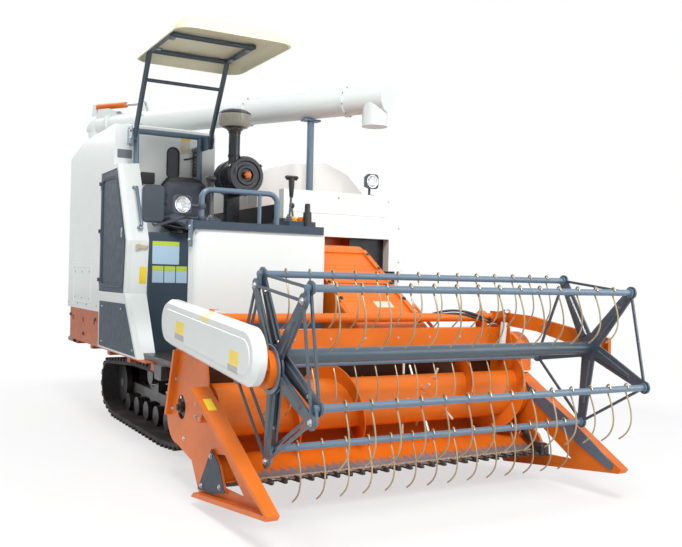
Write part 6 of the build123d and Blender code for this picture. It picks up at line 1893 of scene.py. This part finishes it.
# ---------------------------------------------------------------- bodywork
@dataclass
class Bodywork(Assembly):
    """Seams, hatches, latches and bolts on the tank, covers and sills."""

    right: float = -1.050
    rear: float = -2.2862
    left_y: float = 1.0195
    portal_x: float = 0.1405
    door_y: float = -1.0505
    hatch: tuple[float, float] = (-1.72, 1.125)
    lid: tuple[float, float] = (-1.22, -0.655)
    seam: float = 0.0024
    bead: float = 0.003

    def groove(self, path: Array, radius: float = 0.0035, flat: Sequence[float] = Y) -> Shape:
        """Returns a raised or sunk bead along a closed path."""
        return loop(path, radius, flat, 6)

    def tank(self) -> None:
        """Hatch, seams, lid, foot bolts, rear beads and rear door of the grain tank."""
        proud = self.right + 0.0012
        x, z = self.hatch
        outline = rounded_outline(0.66, 0.30, 0.02, 4)
        ring = columns(x + outline[:, 0], self.right + 0.001, z + outline[:, 1])
        inner = ring.copy()
        inner[:, [0, 2]] = (inner[:, [0, 2]] - self.hatch) * [0.965, 0.92] + self.hatch
        self.piece(
            "tank_hatch_beads", [self.groove(ring), self.groove(inner, 0.0022)], "body_white")
        spots = [(x + sx * 0.27, self.right + 0.0005, z + sz * 0.11) for sx in (-1, 0, 1)
                 for sz in (-1, 1)]
        self.piece("tank_hatch_bolts", bolts(spots, -Y, 0.015, 0.006), "body_white", "zinc")
        seams = [tube([[x, proud, z0], [x, proud, z1]], self.seam, 6)
                 for x, z0, z1 in ((-1.42, 1.32, 2.335), (-1.985, 1.32, 2.30))]
        seams.append(tube([[-2.28, proud, 1.31], [-1.11, proud, 1.31]], self.seam, 6))
        self.piece("tank_seams", seams, "body_white")
        lid = pressed((*self.lid, 2.3440), X, Y, 0.86, 0.62, 0.05,
                      [(0, 0.004), (0.008, 0), (0.022, 0.004), (0.028, 0.02), (0.029, 0.10)], 6)
        self.piece("tank_lid", lid, "body_white")
        straps = [pressed((self.lid[0] + s * 0.28, -0.345, 2.368), X, Y, 0.05, 0.09, 0.008,
                          [(0, 0), (0.006, 0), (0.009, 0.003)], 3) for s in (-1, 1)]
        self.piece("tank_lid_hinges", straps, "body_white", "zinc")
        rear = [(x, self.right + 0.0005, 0.965) for x in (-2.24, -1.88, -1.53, -1.18)]
        self.piece("tank_foot_bolts", bolts(rear, -Y, 0.016, 0.007), "body_white", "zinc")
        back = [tube([[self.rear, y, 0.95], [self.rear, y, 2.24]], self.bead, 6)
                for y in (-0.86, -0.45)]
        back.append(tube([[self.rear, -1.03, 1.55], [self.rear, -0.28, 1.55]], self.bead, 6))
        self.piece("tank_rear_beads", back, "body_white")
        door = pressed((-2.2845, -0.655, 1.22), -Y, Z, 0.34, 0.44, 0.03,
                       [(0, 0.002), (0.006, 0), (0.010, 0.003), (0.011, 0.03)], 5)
        self.piece("tank_rear_door", door, "body_white")
        catches = [self.catch((-2.296, -0.655 + s * 0.135, 1.22), -X) for s in (-1, 1)]
        self.piece("tank_rear_catches", catches, "body_white", "zinc")

    @staticmethod
    def catch(at: Sequence[float], out: Sequence[float]) -> Shape:
        """Over-centre catch: a base plate, a curved lever and its pin.

        Args:
            at: where it lies on the surface.
            out: direction out of the surface.

        Returns:
            The catch's shape.
        """
        n = unit(out)
        u = np.cross(Z, n)
        base = pressed(at, u, Z, 0.030, 0.075, 0.006, [(0, 0), (0.002, 0), (0.003, 0.001)], 3)
        t = np.linspace(-1, 1, 9)[:, None]
        spine = np.asarray(at, float) + Z * 0.028 * t + n * (0.008 + 0.006 * (1 - t ** 2))
        half, thick = u * 0.009, n * 0.003
        lever = np.stack(
            [spine - half, spine + half, spine + half + thick, spine - half + thick], 1)
        eye, reach = np.asarray(at) + Z * 0.022 + n * 0.008, u * 0.016
        pin = tube(np.stack([eye - reach, eye + reach]), 0.003, 8)
        return merged([base, skin(lever), pin])

    def sills(self) -> None:
        """Bolts with washers along the orange sill."""
        places = np.array(
            [(-2.14, self.right, 0.855), (-1.62, self.right, 0.715), (-1.20, self.right, 0.855)])
        self.piece("sill_bolts", bolts(places, -Y, 0.026, 0.012), "black_paint")

    def door(self) -> None:
        """Raised bead and latch on the slate side cover, and screws on the lower panel."""
        y = self.door_y
        corners = np.array(
            [(-1.060, 1.125), (-0.385, 1.125), (-0.350, 1.440), (-0.640, 1.955), (-1.060, 1.955)])
        t = np.linspace(0, 1, 12, endpoint=False)[:, None]
        path = np.concatenate([a + (b - a) * t for a, b in zip(corners, np.roll(corners, -1, 0))])
        for _ in range(3):
            path = (np.roll(path, 1, 0) + 2 * path + np.roll(path, -1, 0)) / 4
        ring = columns(path[:, 0], y, path[:, 1])
        self.piece("side_cover_bead", self.groove(ring, 0.004), "panel_slate", body="side_cover")
        plate = pressed((-0.455, y + 0.0008, 1.52), Z, X, 0.07, 0.036, 0.008,
                        [(0, 0), (-0.002, 0), (-0.003, 0.001)], 3)
        key = turned([(0.012, 0), (0.012, 0.002), (0.010, 0.004), (0.004, 0.004)],
                     (-0.455, y - 0.0014, 1.52), -Y, 20)
        self.piece("side_cover_lock", [plate, key], "panel_slate", "zinc", body="side_cover")
        screws = np.array([(-0.98, -1.0525, 0.70), (-0.10, -1.0525, 0.70), (-0.98, -1.0525, 0.97),
                           (-0.42, -1.0525, 0.97)])
        self.piece("lower_panel_screws", bolts(screws, -Y, 0.014, 0.005), "panel_slate", "zinc")

    def left(self) -> None:
        """Beads, catches and louvres on the threshing side's covers, beads and handle on the drum
        cover.
        """
        pieces, catches = [], []
        for x0, x1, z0, z1 in [(-1.150, 0.040, 0.700, 1.270), (-2.200, -1.170, 0.700, 1.270),
                               (-2.200, -0.100, 1.290, 1.740)]:
            width, height = x1 - x0 - 0.16, z1 - z0 - 0.16
            outline = rounded_outline(width, height, 0.05, 5)
            mid = ((x0 + x1) / 2, (z0 + z1) / 2)
            pieces.append(self.groove(columns(mid[0] + outline[:, 0], self.left_y,
                                              mid[1] + outline[:, 1]), 0.005))
            for sx in (-1, 1):
                catches.append(
                    self.catch((mid[0] + sx * (x1 - x0) * 0.36, self.left_y, z1 - 0.055), Y))
        self.piece("left_cover_beads", pieces, "body_white")
        self.piece("left_cover_catches", catches, "body_white", "zinc")
        slots = []
        for k in range(9):
            t = np.linspace(-1, 1, 13)[:, None]
            top = np.array([-1.70, self.left_y, 0.86 + 0.032 * k]) + np.array([0.16, 0, 0]) * t
            bulge = np.sqrt(np.clip(1 - t ** 4, 0, 1)) * 0.012
            section = np.stack(
                [top + [0, 0, 0.010], top + Y * bulge + [0, 0, -0.006], top + [0, 0, -0.008]], 1)
            slots.append(skin(section))
        self.piece("left_cover_louvres", slots, "body_white")
        beads = []
        for x in (-1.70, -1.20, -0.72):
            line = np.array(
                [[x, 0.0285, 1.80], [x, 0.0285, 2.035], [x, 0.280, 2.133], [x, 0.640, 2.1715],
                 [x, 0.840, 2.0915], [x, 0.991, 1.952], [x, 0.991, 1.78]])
            t = np.linspace(0, 6, 61)
            smooth = columns(*(np.interp(t, np.arange(7), line[:, i]) for i in range(3)))
            beads.append(tube(smooth, 0.005, 8))
        self.piece("drum_cover_beads", beads, "body_white")
        handle = tube(
            np.array([[-1.45, 0.992, 1.86], [-1.45, 1.022, 1.86], [-1.42, 1.035, 1.86],
                      [-1.28, 1.035, 1.86], [-1.25, 1.022, 1.86], [-1.25, 0.992, 1.86]]), 0.009, 12)
        self.piece("drum_cover_handle", handle, "black_paint")

    def portal(self) -> None:
        """Seam and screws on the threshing front cover."""
        x = self.portal_x
        line = tube([[x, -0.03, 1.700], [x, 0.82, 1.700]], self.seam, 6)
        self.piece("portal_seam", line, "body_white")
        spots = np.array([(x, y, z) for y, z in ((0.0, 1.82), (0.40, 1.82), (0.84, 1.82),
                                                 (0.94, 1.62), (0.94, 1.36), (0.0, 1.57))])
        self.piece("portal_screws", bolts(spots, X, 0.013, 0.005), "body_white", "zinc")

    def cowl(self) -> None:
        """Edge beading of the cowl, the bracket under the rail and the band's screws."""
        y0, y1, z0, z1 = -0.942, -0.070, 0.958, 1.490
        outline = rounded_outline(y1 - y0, z1 - z0, 0.02, 4)
        ring = columns(0.7905, (y0 + y1) / 2 + outline[:, 0], (z0 + z1) / 2 + outline[:, 1])
        self.piece("cowl_bead", loop(ring, 0.0022, X, 6), "body_white")
        bracket = pressed((0.765, -0.9515, 1.475), Z, X, 0.16, 0.05, 0.008,
                          [(0, 0), (-0.006, 0), (-0.009, 0.002)], 3)
        self.piece("rail_bracket", bracket, "reel_steel")
        spots = np.array([(0.765, -0.9605, 1.515), (0.765, -0.9605, 1.435)])
        self.piece("rail_bracket_bolts", bolts(spots, -Y, 0.018, 0.008), "bare_steel")
        y = np.linspace(-0.86, -0.15, 6)
        screws = columns(0.801, y, 0.80)
        self.piece("band_screws", bolts(screws, X, 0.012, 0.005), "panel_slate", "zinc")

    def build(self) -> None:
        """Builds the bodywork's small parts."""
        self.tank()
        self.sills()
        self.door()
        self.left()
        self.portal()
        self.cowl()


@dataclass
class Tracks(Assembly):
    """Wheel bolts and hub caps of both tracks."""

    half: float = 0.585
    hub: float = 0.066
    wheels: tuple[Triple, ...] = ((0.030, 0.290, 0.060), (-1.800, 0.270, 0.052))
    bolt_circle: float = 0.092
    rollers: int = 6
    roller_x: float = -0.255
    roller_step: float = 0.269
    roller_z: float = 0.125

    def build(self) -> None:
        """Builds hub caps and bolt circles on sprockets and idlers."""
        caps, heads = [], []
        for side in (-1, 1):
            out = side * (self.half + self.hub)
            for x, z, r in self.wheels:
                caps.append(turned([(r, 0), (r, 0.012), (r * 0.9, 0.020), (r * 0.5, 0.026),
                                    (r * 0.2, 0.027)], (x, out, z), side * Y, 28))
                t = np.arange(6) * np.pi / 3
                ring = columns(x + self.bolt_circle * np.cos(t), out - side * 0.001,
                               z + self.bolt_circle * np.sin(t))
                heads.append(bolts(ring, side * Y, 0.020, 0.010))
            for k in range(self.rollers):
                x = self.roller_x - k * self.roller_step
                caps.append(turned([(0.032, 0), (0.032, 0.010), (0.024, 0.016), (0.008, 0.017)],
                                   (x, out, self.roller_z), side * Y, 20))
        self.piece("track_hub_caps", caps, "black_paint")
        self.piece("track_wheel_bolts", heads, "black_paint", "gear_dark")


@dataclass
class Unloader(Assembly):
    """Flanges of the unloading tube with their bolts, and bands round its riser."""

    foot: tuple[float, float] = (-2.400, -0.780)
    bearing: float = 30.0
    axis_z: float = 2.590
    radius: float = 0.105
    flanges: Triple = (0.62, 1.75, 2.70)
    bands: Triple = (1.00, 1.65, 2.25)

    def at(self, run: float) -> Array:
        """Returns a point on the tube's axis, a run from the riser.

        Args:
            run: distance from the riser.

        Returns:
            The point.
        """
        a = math.radians(self.bearing)
        return np.array(
            [self.foot[0] + run * math.cos(a), self.foot[1] + run * math.sin(a), self.axis_z])

    def build(self) -> None:
        """Builds flange rings with bolts, and the riser's bands."""
        a = math.radians(self.bearing)
        along = np.array([math.cos(a), math.sin(a), 0.0])
        side = np.array([-math.sin(a), math.cos(a), 0.0])
        rings, heads = [], []
        for run in self.flanges:
            r = self.radius
            rings.append(turned([(r - 0.004, -0.014), (r + 0.012, -0.012), (r + 0.012, 0.012),
                                 (r - 0.004, 0.014)], self.at(run), along, 48))
            for t in np.arange(8) * np.pi / 4 + 0.3:
                out = math.cos(t) * side + math.sin(t) * Z
                heads.append(bolts((self.at(run) + out * (r + 0.006) + along * 0.0125)[None], along,
                                   0.012, 0.006))
        self.piece("unloader_flanges", rings, "body_white", body="unloader_boom")
        self.piece("unloader_flange_bolts", heads, "body_white", "zinc", body="unloader_boom")
        bands = [turned([(0.103, -0.010), (0.1085, -0.008), (0.1085, 0.008), (0.103, 0.010)],
                        (*self.foot, z), Z, 40) for z in self.bands]
        self.piece("riser_bands", bands, "body_white", "zinc", body="unloader_base")


def main() -> None:
    """Loads the frame, then builds each sub-assembly in order."""
    logging.basicConfig(level=logging.INFO, format="%(name)s: %(message)s")
    for obj in list(bpy.data.objects):
        bpy.data.objects.remove(obj)
    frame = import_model()
    paints = Paintshop()
    dresser = Dresser(frame, paints)
    dresser.all_nodes()
    for kind in (Reel, Cutter, Auger, Header, Station, AirCleaner, Canopy, Bodywork, Tracks,
                 Unloader, Seat):
        kind(dresser).build()
    Studio().build()


if __name__ == "__main__":
    main()
